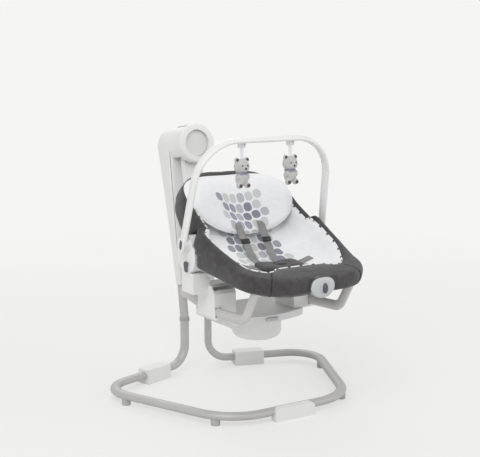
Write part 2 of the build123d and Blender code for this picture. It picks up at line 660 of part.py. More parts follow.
shoulder += block((DISC_INNER_X, HUB_FACE_X - WALL), shoulder_span, (shoulder_top - 6 * WALL, shoulder_top))
leg = leg + shoulder - runner_channel - hub_solid
leg = max(leg.solids(), key=lambda solid: solid.volume)

# Seat frame and sling
front_frame = Pos(0, HUB_Y, HUB_Z) * Rot(FRONT_SLOPE, 0, 0)
back_frame = Pos(0, HUB_Y, HUB_Z) * Rot(BACK_SLOPE, 0, 0)
front_points = [
    (-FRONT_HUB_X, -(HUB_R - FRAME_R)),
    (-FRONT_HALF_WIDTH, -FRONT_REACH),
    (FRONT_HALF_WIDTH, -FRONT_REACH),
    (FRONT_HUB_X, -(HUB_R - FRAME_R)),
]
back_points = [
    (-BACK_HUB_X, DISC_R - FRAME_R),
    (-BACK_HALF_WIDTH, BACK_REACH),
    (BACK_HALF_WIDTH, BACK_REACH),
    (BACK_HUB_X, DISC_R - FRAME_R),
]
front_line = FilletPolyline(*front_points, radius=FRONT_BEND_R)
back_line = FilletPolyline(*back_points, radius=BACK_BEND_R)
flat = (0, 0, 1)
front_tube = front_frame * oval_tube(front_line, flat, 2 * FRAME_R, 2 * FRAME_R, FRAME_WALL)
front_bar = front_frame * oval_bar(front_line, flat, 2 * FRAME_R, 2 * FRAME_R)
front_tube = max(
    (front_tube - hub_solid - mirrored(hub_solid)).solids(), key=lambda solid: solid.volume
)
runner_right = max((runner_right - front_bar).solids(), key=lambda solid: solid.volume)
disc = rod_x(HUB_Y, HUB_Z, DISC_R, DISC_INNER_X, HUB_INNER_X - CLEARANCE)
back_tube = back_frame * oval_tube(back_line, flat, 2 * FRAME_R, 2 * FRAME_R, FRAME_WALL)
back_tube = max((back_tube - disc - mirrored(disc)).solids(), key=lambda solid: solid.volume)
disc -= rod_x(HUB_Y, HUB_Z, PIN_R + RUN_CLEARANCE, DISC_INNER_X, HUB_INNER_X)


def inside_of(line, inset, run_on=0.0):
    """The area inside a frame line, inset from the tube's middle; run_on lengthens its open end."""
    start = line @ 0 - run_on * (line % 0)
    end = line @ 1 + run_on * (line % 1)
    sides = [Line(start, line @ 0), Line(line @ 1, end)] if run_on else []
    return offset(make_face([line, *sides, Line(start, end)]), -inset)


def slab(face, low, high):
    """A face in a frame's plane, made solid between two heights above that plane."""
    return Pos(0, 0, low) * extrude(face, amount=high - low)


sling_inset = FRAME_R + SOFT_GAP
sling = slab(inside_of(front_line, sling_inset, SLING_RUN_ON), -SLING_DEPTH, 0)
sling_hollow = inside_of(front_line, sling_inset + SLING_THICK, 3 * SLING_RUN_ON)
sling -= slab(sling_hollow, -SLING_DEPTH + SLING_THICK, SLING_THICK)
sling = front_frame * sling
side_room = block(
    (DISC_INNER_X - WALL, 2 * HUB_FACE_X),
    (HUB_Y - HUB_R - WALL, HUB_Y + 2 * HUB_R),
    (0, 2 * HUB_Z),
)
sling = sling - side_room - mirrored(side_room) - runner_solid - mirrored(runner_solid)
sling = max(sling.solids(), key=lambda solid: solid.volume)
seat_pad_face = inside_of(front_line, sling_inset + SLING_THICK + SOFT_GAP, SLING_RUN_ON)
pad_floor = -SLING_DEPTH + SLING_THICK + SOFT_GAP
seat_pad = front_frame * slab(seat_pad_face, pad_floor, pad_floor + PAD_THICK)
seat_pad = seat_pad - side_room - mirrored(side_room) - runner_solid - mirrored(runner_solid)
seat_pad = max(seat_pad.solids(), key=lambda solid: solid.volume)

panel_face = inside_of(back_line, FRAME_R + SOFT_GAP)
back_panel = back_frame * slab(panel_face, -SLING_THICK / 2, SLING_THICK / 2)
back_pad_low = SLING_THICK / 2 + SOFT_GAP
back_pad_face = inside_of(back_line, RIM_THICK + FRAME_R)
back_pad = back_frame * slab(back_pad_face, back_pad_low, back_pad_low + PAD_THICK)

# Padded rim walls, from the frame tubes up to an edge that is level in front and rises towards the back
rim_rise = math.tan(math.radians(RIM_SLOPE))
back_rise = math.tan(math.radians(RIM_BACK_SLOPE))
rim_hub_z = RIM_FRONT_Z + rim_rise * (HUB_Y - RIM_KNEE_Y)
rim_low_y = HUB_Y - FRONT_REACH - RIM_THICK
rim_high_y = HUB_Y + BACK_REACH
rim_cap = yz_plate(
    [
        (rim_low_y, 0),
        (rim_high_y, 0),
        (rim_high_y, rim_hub_z + back_rise * (rim_high_y - HUB_Y)),
        (HUB_Y, rim_hub_z),
        (RIM_KNEE_Y, RIM_FRONT_Z),
        (rim_low_y, RIM_FRONT_Z),
    ],
    -2 * HUB_FACE_X,
    2 * HUB_FACE_X,
)
rim_height = 2 * HUB_R


def rim_wall(line, frame):
    """Upright padded wall just inside a frame line, cut off at the rim."""
    band = inside_of(line, CLEARANCE, rim_height) - inside_of(line, RIM_THICK, 2 * rim_height)
    return (frame * slab(band, FRAME_R + SOFT_GAP, rim_height)) & rim_cap


front_room = block((-2 * HUB_FACE_X, 2 * HUB_FACE_X), (2 * rim_low_y, HUB_Y - HUB_R - WALL), (0, 2 * HUB_Z))
back_room = block((-2 * HUB_FACE_X, 2 * HUB_FACE_X), (HUB_Y + PIVOT_R, 2 * rim_high_y), (0, 2 * HUB_Z))
front_wall = rim_wall(front_line, front_frame) & front_room
back_wall = rim_wall(back_line, back_frame) & back_room
back_wall = back_wall - disc - mirrored(disc)
back_wall = max(back_wall.solids(), key=lambda solid: solid.volume)

# Head support and harness
pad_top = back_pad_low + PAD_THICK + SOFT_GAP
head_face = Pos(0, HEAD_PAD_AT) * Ellipse(HEAD_PAD_WIDE / 2, HEAD_PAD_TALL / 2)
head_face -= Pos(0, HEAD_PAD_AT - HOLLOW_DROP) * Ellipse(HOLLOW_WIDE / 2, HOLLOW_TALL / 2)
head_support = back_frame * slab(head_face, pad_top, pad_top + HEAD_PAD_THICK)
strap_low = HEAD_PAD_AT - HEAD_PAD_TALL / 2
shoulder_strap = back_frame * block(
    (STRAP_X - STRAP_WIDE / 2, STRAP_X + STRAP_WIDE / 2),
    (strap_low, strap_low + SHOULDER_STRAP_LONG),
    (pad_top, pad_top + STRAP_THICK),
)
head_support = head_support - shoulder_strap - mirrored(shoulder_strap)
strap_adjuster = back_frame * block(
    (STRAP_X - ADJUSTER_WIDE / 2, STRAP_X + ADJUSTER_WIDE / 2),
    (strap_low + STRAP_WIDE / 2, strap_low + STRAP_WIDE / 2 + STRAP_WIDE),
    (pad_top + STRAP_THICK, pad_top + 3 * STRAP_THICK),
)
seat_top = pad_floor + PAD_THICK + SOFT_GAP
crotch_y = -HUB_R - CROTCH_REACH
buckle_y = crotch_y + (CROTCH_LONG - BUCKLE_LONG) / 2
crotch_top = seat_top + CROTCH_THICK
crotch_pad = front_frame * block(
    (-CROTCH_WIDE / 2, CROTCH_WIDE / 2), (crotch_y, crotch_y + CROTCH_LONG), (seat_top, crotch_top)
)
buckle = front_frame * block(
    (-BUCKLE_WIDE / 2, BUCKLE_WIDE / 2),
    (buckle_y, buckle_y + BUCKLE_LONG),
    (crotch_top, crotch_top + BUCKLE_THICK),
)
waist_strap = front_frame * block(
    (CROTCH_WIDE / 2 + CLEARANCE, WAIST_STRAP_END_X),
    (buckle_y, buckle_y + STRAP_WIDE),
    (seat_top, seat_top + STRAP_THICK),
)

# Vibration module on the front of the frame
front_centre = front_frame * Pos(0, -FRONT_REACH, 0)
module_y = front_centre.position.Y
module_z = front_centre.position.Z
module_front = module_y - FRAME_R - MODULE_DEEP
module = block(
    (-MODULE_WIDE / 2, MODULE_WIDE / 2),
    (module_front, module_y),
    (module_z - MODULE_TALL / 2, module_z + MODULE_TALL / 2),
)
module = fillet(module.edges().filter_by(Axis.Y), MODULE_CORNER_R)
front_wall = max((front_wall - module).solids(), key=lambda solid: solid.volume)
sling = sling - module
dial_pin_r = SHAFT_R - 2
dial_seat = module_front + BULKHEAD + CLEARANCE
dial = rod_y(0, module_z, DIAL_R, module_front - DIAL_DEEP, module_front - CLEARANCE)
dial += rod_y(0, module_z, dial_pin_r, module_front - CLEARANCE, module_front + BULKHEAD)
module -= rod_y(0, module_z, dial_pin_r + RUN_CLEARANCE, module_front, dial_seat)
module -= front_bar

# Toy bar
bar_frame = Pos(0, PIVOT_Y, PIVOT_Z) * Rot(BAR_LEAN, 0, 0)
bar_line = FilletPolyline(
    (-BAR_FOOT_X, 0, BAR_THICK / 2),
    (-BAR_HALF_WIDTH, 0, BAR_HEIGHT),
    (BAR_HALF_WIDTH, 0, BAR_HEIGHT),
    (BAR_FOOT_X, 0, BAR_THICK / 2),
    radius=BAR_BEND_R,
)
toy_bar = oval_bar(bar_line, (0, 1, 0), BAR_DEEP, BAR_THICK)
eye_z = BAR_HEIGHT - BAR_THICK / 2 - EYE_DROP
eye_ear = EYE_R + EYE_WALL
ear_inner = CLIP_WIDE / 2 + CLEARANCE
ear_outer = ear_inner + EYE_WALL
for toy_x in (-TOY_X, TOY_X):
    for ear_span in ((-ear_outer, -ear_inner), (ear_inner, ear_outer)):
        toy_bar += Pos(toy_x, 0, 0) * block(ear_span, (-eye_ear, eye_ear), (eye_z - eye_ear, BAR_HEIGHT))
    toy_bar += rod_x(0, eye_z, EYE_R, toy_x - ear_outer, toy_x + ear_outer)
toy_bar = bar_frame * toy_bar
cap_inner = HUB_FACE_X + CLEARANCE
bar_cap = rod_x(PIVOT_Y, PIVOT_Z, PIVOT_R, cap_inner, BAR_FOOT_X + BAR_THICK / 2)
bar_cap += rod_x(PIVOT_Y, PIVOT_Z, PIVOT_PIN_R, pivot_pin_start + CLEARANCE, cap_inner)
toy_bar = max((toy_bar - bar_cap - mirrored(bar_cap)).solids(), key=lambda solid: solid.volume)

# Hanging toys
toy_at = bar_frame * Pos(TOY_X, 0, eye_z)
toy_y, toy_z = toy_at.position.Y, toy_at.position.Z
clip_inner = EYE_R + RUN_CLEARANCE
clip_outer = EYE_R + EYE_WALL
toy_strap = rod_x(toy_y, toy_z, clip_outer, TOY_X - CLIP_WIDE / 2, TOY_X + CLIP_WIDE / 2)
strap_end = toy_z - TOY_DROP
toy_strap += block(
    (TOY_X - CLIP_WIDE / 2, TOY_X + CLIP_WIDE / 2),
    (toy_y - STRAP_THICK / 2, toy_y + STRAP_THICK / 2),
    (strap_end, toy_z),
)
toy_strap -= rod_x(toy_y, toy_z, clip_inner, TOY_X - CLIP_WIDE, TOY_X + CLIP_WIDE)
head_ball_z = strap_end - TOY_SUNK
body_ball_z = head_ball_z - TOY_BODY_DROP
toy = Pos(TOY_X, toy_y, head_ball_z) * Sphere(TOY_HEAD_R)
toy += Pos(TOY_X, toy_y, body_ball_z) * Sphere(TOY_BODY_R)
for side in (-1, 1):
    toy += Pos(TOY_X + side * TOY_EAR_OUT, toy_y, head_ball_z + TOY_EAR_OUT) * Sphere(TOY_EAR_R)
    paw_at = (TOY_X + side * TOY_PAW_OUT, toy_y - TOY_PAW_FORWARD, body_ball_z - TOY_PAW_DROP)
    toy += Pos(*paw_at) * Sphere(TOY_PAW_R)
toy -= toy_strap

nodes = {
    "base_loop": base_loop,
    "rear_legs": pair(rear_leg_right),
    "posts": pair(post_right),
    "post_collars": pair(collar_right),
    "foot_pads": group(*foot_pads),
    "front_foot_plate": front_plate,
    "rear_feet": pair(rear_foot_right),
    "tower_front_housing": tower_frame * tower_front,
    "tower_rear_cover": tower_frame * tower_rear,
    "head_bezel": tower_frame * bezel,
    "night_light_lens": tower_frame * lens,
    "light_board": tower_frame * light_board,
    "control_panel": tower_frame * panel,
    "circuit_board": tower_frame * circuit_board,
    "tower_screws": tower_frame * group(*screws),
    "power_inlet": tower_frame * inlet,
    "shaft_bearings": group(tower_frame * bearing(front_bearing_y), tower_frame * bearing(rear_bearing_y)),
    "motor_bracket": tower_frame * motor_bracket,
    "drive_motor": tower_frame * motor,
    "motor_pinion": tower_frame * pinion,
    "swing_shaft": tower_frame * shaft,
    "drive_gear": tower_frame * gear,
    "arm_boss": arm_boss,
    "arm_tube": arm_tube,
    "arm_front_shell": arm_shell_a,
    "arm_rear_shell": arm_shell_b,
    "dock_tub": tub,
    "dock_platform": platform,
    "dock_latch": latch,
    "runners": pair(runner_right),
    "rear_cross_tube": rear_cross_tube,
    "legs": pair(leg),
    "hubs": pair(hub),
    "hinge_pins": pair(hinge_pin),
    "front_frame_tube": front_tube,
    "front_rim": front_wall,
    "seat_sling": sling,
    "seat_pad": seat_pad,
    "crotch_pad": crotch_pad,
    "waist_straps": pair(waist_strap),
    "harness_buckle": buckle,
    "vibration_module": module,
    "vibration_dial": dial,
    "recline_button_left": mirrored(recline_button),
    "recline_button_right": recline_button,
    "recline_discs": pair(disc),
    "back_frame_tube": back_tube,
    "back_panel": back_panel,
    "back_rim": back_wall,
    "back_pad": back_pad,
    "head_support": head_support,
    "shoulder_straps": pair(shoulder_strap),
    "strap_adjusters": pair(strap_adjuster),
    "toy_bar": toy_bar,
    "bar_caps": pair(bar_cap),
    "toy_left": group(mirrored(toy), mirrored(toy_strap)),
    "toy_right": group(toy, toy_strap),
    "swing_button": tower_frame * buttons[0],
    "sound_button": tower_frame * buttons[1],
    "light_button": tower_frame * buttons[2],
}

boxes = [shape.bounding_box() for shape in nodes.values()]
front_edge = min(box.min.Y for box in boxes)
back_edge = max(box.max.Y for box in boxes)
centre_y = (front_edge + back_edge) / 2
for name, shape in nodes.items():
    export_step(Pos(0, -centre_y, 0) * shape, f"parts/{name}.step")
print(len(nodes), "nodes, depth", round(back_edge - front_edge, 1), "middle", round(centre_y, 2))
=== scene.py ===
# %% [markdown]
# # A baby swing, dressed
# The real swing is a floor loop of painted tube, a white motor tower, an arm that carries a dock, and a
# padded rocker seat that lifts off it. The hard parts arrive as finished solids, so they only need
# finishes. Everything sewn or stuffed is modelled here, because fabric is a matter of soft curves that a
# solid modeller does badly.

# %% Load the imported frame
import json
import math

import bmesh
import bpy
from mathutils import Matrix, Vector, noise
from mathutils.bvhtree import BVHTree


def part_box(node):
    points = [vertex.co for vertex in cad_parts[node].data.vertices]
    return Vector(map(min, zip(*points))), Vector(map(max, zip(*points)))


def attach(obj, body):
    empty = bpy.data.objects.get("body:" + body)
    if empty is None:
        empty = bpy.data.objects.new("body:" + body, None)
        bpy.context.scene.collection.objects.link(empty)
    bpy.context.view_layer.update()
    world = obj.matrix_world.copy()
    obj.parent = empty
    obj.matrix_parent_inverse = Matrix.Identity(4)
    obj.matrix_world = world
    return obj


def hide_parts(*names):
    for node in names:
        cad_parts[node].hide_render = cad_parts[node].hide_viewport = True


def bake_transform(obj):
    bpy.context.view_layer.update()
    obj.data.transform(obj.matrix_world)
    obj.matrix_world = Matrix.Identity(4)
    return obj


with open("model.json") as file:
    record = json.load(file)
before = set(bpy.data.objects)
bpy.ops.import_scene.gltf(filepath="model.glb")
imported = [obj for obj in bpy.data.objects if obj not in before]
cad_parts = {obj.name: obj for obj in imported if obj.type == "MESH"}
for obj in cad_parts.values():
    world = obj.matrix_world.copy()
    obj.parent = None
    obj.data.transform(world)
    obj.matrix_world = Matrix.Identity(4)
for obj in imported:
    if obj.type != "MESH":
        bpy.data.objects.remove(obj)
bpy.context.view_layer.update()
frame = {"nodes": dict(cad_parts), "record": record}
scene = bpy.context.scene
MM = 0.001

# %% [markdown]
# ## Camera
# The photograph was taken with a long lens from the front left, a little above the seat. A perspective
# camera with the same place, heading and field of view makes the render line up with it, so the two can
# be laid side by side.

# %% Camera
CAMERA_PLACE = (-1.608, -2.5945, 1.004)
CAMERA_PITCH = 80.55
CAMERA_TURN = -31.79
CAMERA_LENS = 78.75
SENSOR = 36.0

camera_data = bpy.data.cameras.new("photo_camera")
camera_data.lens = CAMERA_LENS
camera_data.sensor_width = SENSOR
camera = bpy.data.objects.new("photo_camera", camera_data)
camera.location = CAMERA_PLACE
camera.rotation_euler = (math.radians(CAMERA_PITCH), 0.0, math.radians(CAMERA_TURN))
scene.collection.objects.link(camera)
scene.camera = camera
scene.view_settings.view_transform = "Standard"
print("camera at", tuple(round(value, 3) for value in camera.location))

# %% [markdown]
# ## Studio
# The object stands in a bright, almost shadowless studio. One large soft lamp from the upper left gives
# the shapes their shading, a weaker one fills the right, a third lights the back, and an even sky does the
# rest. The sky shows a fixed pale tone to the camera, so the backdrop stays pale without pouring more
# light on the object.

# %% Lamps
LAMP_TARGET = Vector((0, 0, 0.45))
LAMPS = (
    ("key_lamp", (-1.9, -1.7, 2.9), 2.0, 42.0),
    ("fill_lamp", (2.4, -1.6, 1.7), 2.2, 14.0),
    ("rear_lamp", (0.8, 2.4, 2.3), 1.8, 16.0),
)

for lamp_name, lamp_place, lamp_size, lamp_power in LAMPS:
    lamp_data = bpy.data.lights.new(lamp_name, "AREA")
    lamp_data.size = lamp_size
    lamp_data.energy = lamp_power
    lamp = bpy.data.objects.new(lamp_name, lamp_data)
    lamp.location = lamp_place
    lamp.rotation_euler = (LAMP_TARGET - Vector(lamp_place)).to_track_quat("-Z", "Y").to_euler()
    scene.collection.objects.link(lamp)
print("lamps", len(LAMPS))

# %% Sky
BACKDROP = (0.915, 0.915, 0.902)
SKY_LIGHT = 0.62

sky = bpy.data.worlds.new("studio_sky")
sky.use_nodes = True
scene.world = sky
sky_nodes = sky.node_tree.nodes
sky_links = sky.node_tree.links
sky_nodes.clear()
sky_out = sky_nodes.new("ShaderNodeOutputWorld")
sky_mix = sky_nodes.new("ShaderNodeMixShader")
sky_glow = sky_nodes.new("ShaderNodeBackground")
sky_glow.inputs["Color"].default_value = (1.0, 1.0, 1.0, 1.0)
sky_glow.inputs["Strength"].default_value = SKY_LIGHT
sky_seen = sky_nodes.new("ShaderNodeBackground")
sky_seen.inputs["Color"].default_value = (*BACKDROP, 1.0)
sky_seen.inputs["Strength"].default_value = 1.0
sky_path = sky_nodes.new("ShaderNodeLightPath")
sky_links.new(sky_path.outputs["Is Camera Ray"], sky_mix.inputs[0])
sky_links.new(sky_glow.outputs[0], sky_mix.inputs[1])
sky_links.new(sky_seen.outputs[0], sky_mix.inputs[2])
sky_links.new(sky_mix.outputs[0], sky_out.inputs[0])
print("sky strength", SKY_LIGHT)

# %% [markdown]
# ## Floor
# A plain pale disc, wide enough that its edge is never seen. Part of its tone towards the camera is a
# constant glow that grows with the distance, so that it melts into the sky while it still takes a soft
# shadow near the feet.

# %% Floor disc
FLOOR_RADIUS = 40.0
FLOOR_SIDES = 96

floor_mesh = bpy.data.meshes.new("floor")
floor_shape = bmesh.new()
bmesh.ops.create_circle(floor_shape, cap_ends=True, segments=FLOOR_SIDES, radius=FLOOR_RADIUS)
floor_shape.to_mesh(floor_mesh)
floor_shape.free()
floor = bpy.data.objects.new("floor", floor_mesh)
scene.collection.objects.link(floor)
print("floor radius", FLOOR_RADIUS, "m")

# %% Floor paint
FLOOR_TONE = (0.86, 0.86, 0.85)
GLOW_NEAR = 0.58
GLOW_FADE = (0.8, 3.2)

floor_paint = bpy.data.materials.new("floor_paint")
floor_paint.use_nodes = True
floor_nodes = floor_paint.node_tree.nodes
floor_links = floor_paint.node_tree.links
floor_nodes.clear()
floor_out = floor_nodes.new("ShaderNodeOutputMaterial")
floor_mix = floor_nodes.new("ShaderNodeMixShader")
floor_gate = floor_nodes.new("ShaderNodeMath")
floor_gate.operation = "MULTIPLY"
floor_place = floor_nodes.new("ShaderNodeTexCoord")
floor_far = floor_nodes.new("ShaderNodeVectorMath")
floor_far.operation = "LENGTH"
floor_fade = floor_nodes.new("ShaderNodeMapRange")
floor_fade.interpolation_type = "SMOOTHSTEP"
floor_fade.inputs["From Min"].default_value = GLOW_FADE[0]
floor_fade.inputs["From Max"].default_value = GLOW_FADE[1]
floor_fade.inputs["To Min"].default_value = GLOW_NEAR
floor_fade.inputs["To Max"].default_value = 1.0
floor_diffuse = floor_nodes.new("ShaderNodeBsdfDiffuse")
floor_diffuse.inputs["Color"].default_value = (*FLOOR_TONE, 1.0)
floor_glow = floor_nodes.new("ShaderNodeEmission")
floor_glow.inputs["Color"].default_value = (*BACKDROP, 1.0)
floor_path = floor_nodes.new("ShaderNodeLightPath")
floor_links.new(floor_place.outputs["Object"], floor_far.inputs[0])
floor_links.new(floor_far.outputs["Value"], floor_fade.inputs["Value"])
floor_links.new(floor_path.outputs["Is Camera Ray"], floor_gate.inputs[0])
floor_links.new(floor_fade.outputs["Result"], floor_gate.inputs[1])
floor_links.new(floor_gate.outputs[0], floor_mix.inputs[0])
floor_links.new(floor_diffuse.outputs[0], floor_mix.inputs[1])
floor_links.new(floor_glow.outputs[0], floor_mix.inputs[2])
floor_links.new(floor_mix.outputs[0], floor_out.inputs[0])
floor_mesh.materials.append(floor_paint)
print("floor glow from", GLOW_NEAR, "to 1 between", GLOW_FADE, "m")

# %% [markdown]
# ## Finishes
# Every surface is a Principled shader with a little of its own life: a slow drift of tone, and a fine
# relief. Moulded plastic has a faint spark-eroded grain, paint a soft orange peel, and cloth two crossed
# sets of threads. One helper makes the base, and small helpers add tone, grain and weave, so a finish
# reads as a short recipe.

# %% Base finish


def new_finish(name, colour, roughness, metallic=0.0):
    """A Principled material with one base colour."""
    finish = bpy.data.materials.new(name)
    finish.use_nodes = True
    shader = finish.node_tree.nodes["Principled BSDF"]
    shader.inputs["Base Color"].default_value = (*colour, 1.0)
    shader.inputs["Roughness"].default_value = roughness
    shader.inputs["Metallic"].default_value = metallic
    return finish


def texture_place(finish, attribute=""):
    """Where the textures lie: the piece's own coordinates, or places stored on the mesh."""
    nodes = finish.node_tree.nodes
    if attribute:
        place = nodes.new("ShaderNodeAttribute")
        place.attribute_name = attribute
        return place.outputs["Vector"]
    return nodes.new("ShaderNodeTexCoord").outputs["Object"]


print("base finish ready")

# %% Tone and relief
TONE_DETAIL = 4.0
TONE_SPAN = (0.3, 0.7)
GRAIN_DETAIL = 3.0
GRAIN_DEPTH = 0.0004


def add_tone(finish, colour, spread, scale, place):
    """A slow drift between a darker and a lighter shade of a colour."""
    nodes = finish.node_tree.nodes
    links = finish.node_tree.links
    darker = [value * (1.0 - spread) for value in colour]
    lighter = [min(1.0, value * (1.0 + spread)) for value in colour]
    cloud = nodes.new("ShaderNodeTexNoise")
    cloud.inputs["Scale"].default_value = scale
    cloud.inputs["Detail"].default_value = TONE_DETAIL
    ramp = nodes.new("ShaderNodeValToRGB")
    for element, position, shade in zip(ramp.color_ramp.elements, TONE_SPAN, (darker, lighter)):
        element.position = position
        element.color = (*shade, 1.0)
    links.new(place, cloud.inputs["Vector"])
    links.new(cloud.outputs["Fac"], ramp.inputs["Fac"])
    links.new(ramp.outputs["Color"], nodes["Principled BSDF"].inputs["Base Color"])


def add_relief(finish, height, depth, strength):
    """Bump from a height output."""
    nodes = finish.node_tree.nodes
    bump = nodes.new("ShaderNodeBump")
    bump.inputs["Distance"].default_value = depth
    bump.inputs["Strength"].default_value = strength
    finish.node_tree.links.new(height, bump.inputs["Height"])
    finish.node_tree.links.new(bump.outputs["Normal"], nodes["Principled BSDF"].inputs["Normal"])


def add_grain(finish, scale, strength, place):
    """Fine moulded or painted grain."""
    grain = finish.node_tree.nodes.new("ShaderNodeTexNoise")
    grain.inputs["Scale"].default_value = scale
    grain.inputs["Detail"].default_value = GRAIN_DETAIL
    finish.node_tree.links.new(place, grain.inputs["Vector"])
    add_relief(finish, grain.outputs["Fac"], GRAIN_DEPTH, strength)


print("tone between", TONE_SPAN, "grain depth", GRAIN_DEPTH)

# %% Weave
WAVE_FACTOR = 20.0
THREAD_WANDER = 0.6
WARP_TURN = (0.5, 0.6, 0.2)
WEFT_TURN = (0.4, -0.9, 1.2)
WEAVE_DEPTH = 0.0006


def thread_bands(finish, turn, pitch, place):
    """One set of threads along a turned direction. A wave texture runs WAVE_FACTOR radians a unit."""
    nodes = finish.node_tree.nodes
    links = finish.node_tree.links
    mapping = nodes.new("ShaderNodeMapping")
    mapping.inputs["Rotation"].default_value = turn
    bands = nodes.new("ShaderNodeTexWave")
    bands.inputs["Scale"].default_value = 2.0 * math.pi / (WAVE_FACTOR * pitch)
    bands.inputs["Distortion"].default_value = THREAD_WANDER
    links.new(place, mapping.inputs["Vector"])
    links.new(mapping.outputs["Vector"], bands.inputs["Vector"])
    return bands.outputs["Fac"]


def add_weave(finish, pitch, strength, place):
    """Two crossed sets of threads as relief."""
    cloth = finish.node_tree.nodes.new("ShaderNodeMath")
    cloth.operation = "MULTIPLY"
    for socket, turn in zip(cloth.inputs, (WARP_TURN, WEFT_TURN)):
        finish.node_tree.links.new(thread_bands(finish, turn, pitch, place), socket)
    add_relief(finish, cloth.outputs[0], WEAVE_DEPTH, strength)


print("weave depth", WEAVE_DEPTH)

# %% Two recipes
DRIFT_SCALE = 14.0
HEATHER_SCALE = 60.0
CLOTH_ROUGHNESS = 0.9
CLOTH_SPECULAR = 0.2
SHEEN_ROUGHNESS = 0.5


def hard_finish(name, colour, roughness, metallic=0.0, spread=0.04, grain=900.0, strength=0.15):
    """Plastic, paint or metal with a drift of tone and a fine grain."""
    finish = new_finish(name, colour, roughness, metallic)
    place = texture_place(finish)
    add_tone(finish, colour, spread, DRIFT_SCALE, place)
    add_grain(finish, grain, strength, place)
    return finish


def cloth_finish(name, colour, spread, pitch, strength, sheen, attribute=""):
    """Woven cloth with a heathered tone, crossed threads and a soft sheen."""
    finish = new_finish(name, colour, CLOTH_ROUGHNESS)
    place = texture_place(finish, attribute)
    add_tone(finish, colour, spread, HEATHER_SCALE, place)
    add_weave(finish, pitch, strength, place)
    shader = finish.node_tree.nodes["Principled BSDF"]
    shader.inputs["Sheen Weight"].default_value = sheen
    shader.inputs["Sheen Roughness"].default_value = SHEEN_ROUGHNESS
    shader.inputs["Specular IOR Level"].default_value = CLOTH_SPECULAR
    return finish


print("recipes for hard and cloth finishes ready")

# %% [markdown]
# ## Finishes on the solid parts
# The tubes are satin grey paint, the tower and hubs a warm white moulding, and the hidden drive parts are
# metal, bronze and nylon. The record already names a finish for every node, so one table from that name to
# a material dresses all of them in a single loop.

# %% Cloth and trim finishes
CLOTH_WHITE = (0.90, 0.91, 0.92)
WHITE_KNIT = (CLOTH_WHITE, 0.02, 0.0022, 0.25, 0.1)
CHARCOAL = (0.072, 0.068, 0.069)

charcoal_cloth = cloth_finish("charcoal_cloth", CHARCOAL, 0.22, 0.0016, 0.5, 0.25, "cut_place")
white_cloth = cloth_finish("white_knit", *WHITE_KNIT)
grey_webbing = cloth_finish("grey_webbing", (0.33, 0.325, 0.32), 0.12, 0.0011, 0.9, 0.1)
slate_cloth = cloth_finish("slate_cloth", (0.11, 0.115, 0.14), 0.15, 0.0016, 0.4, 0.1)
runner_paint = hard_finish("pale_grey_paint", (0.62, 0.61, 0.60), 0.38, 0.05, 0.02, 500.0, 0.1)
black_clip = hard_finish("black_clip", (0.03, 0.03, 0.032), 0.4)
slate_plastic = hard_finish("slate_plastic", (0.10, 0.105, 0.12), 0.4)
print("finishes so far", len(bpy.data.materials))

# %% Dress the nodes
slot_finish = {
    "grey_tube": hard_finish("satin_grey_paint", (0.53, 0.525, 0.515), 0.38, 0.1, 0.03, 500.0, 0.1),
    "collar_grey": hard_finish("collar_plastic", (0.42, 0.41, 0.40), 0.5),
    "foot_rubber": hard_finish("foot_rubber", (0.50, 0.50, 0.49), 0.8, grain=1500.0, strength=0.4),
    "white_plastic": hard_finish("white_moulding", (0.87, 0.87, 0.865), 0.42, spread=0.015),
    "lens_white": hard_finish("milky_lens", (0.74, 0.75, 0.74), 0.3, spread=0.01),
    "panel_grey": hard_finish("panel_grey", (0.62, 0.62, 0.62), 0.45),
    "board_green": hard_finish("circuit_board", (0.05, 0.22, 0.09), 0.5, spread=0.3),
    "steel": hard_finish("plain_steel", (0.55, 0.55, 0.56), 0.32, 1.0),
    "bronze": hard_finish("bearing_bronze", (0.45, 0.30, 0.14), 0.4, 1.0),
    "gear_plastic": hard_finish("gear_nylon", (0.75, 0.72, 0.62), 0.45),
    "alloy": hard_finish("cast_alloy", (0.52, 0.52, 0.53), 0.45, 0.9, 0.08, 400.0, 0.4),
    "inlet_black": hard_finish("inlet_black", (0.03, 0.03, 0.03), 0.5),
    "module_blue_grey": hard_finish("module_shell", (0.58, 0.605, 0.61), 0.4, spread=0.02),
    "charcoal_fabric": charcoal_cloth,
    "white_fabric": white_cloth,
    "grey_webbing": grey_webbing,
    "plush_grey": white_cloth,
}
module_plastic = slot_finish["module_blue_grey"]

node_slot = {part["node"]: part["material_slot"] for part in frame["record"]["subparts"]}
for node_name, node in frame["nodes"].items():
    node.data.materials.clear()
    node.data.materials.append(slot_finish[node_slot[node_name]])
for node_name in ("runners", "rear_cross_tube"):
    frame["nodes"][node_name].data.materials[0] = runner_paint
print("dressed", len(node_slot), "nodes with", len(slot_finish), "finishes")

# %% [markdown]
# ## Curves and lofts
# Most soft pieces are lofts: rows of points joined by quads. They could be sculpted by hand, but a smooth
# curve through a handful of chosen points gives the rows their roundness, and keeps each outline down to
# the points that its shape needs.

# %% Curves and tables


def smooth_line(points, per_span):
    """A Catmull-Rom curve through the points, with per_span steps between neighbours."""
    points = [Vector(point) for point in points]
    ends = [2 * points[0] - points[1], *points, 2 * points[-1] - points[-2]]
    line = []
    for a, b, c, d in zip(ends, ends[1:], ends[2:], ends[3:]):
        for step in range(per_span):
            t = step / per_span
            square = (2 * a - 5 * b + 4 * c - d) * t * t
            cube = (3 * b - a - 3 * c + d) * t**3
            line.append(0.5 * (2 * b + (c - a) * t + square + cube))
    line.append(points[-1])
    return line


def table_value(table, x):
    """Straight interpolation in a short table of (x, value) pairs."""
    if x <= table[0][0]:
        return table[0][1]
    for (x0, v0), (x1, v1) in zip(table, table[1:]):
        if x <= x1:
            share = (x - x0) / (x1 - x0)
            return v0 + (v1 - v0) * share
    return table[-1][1]


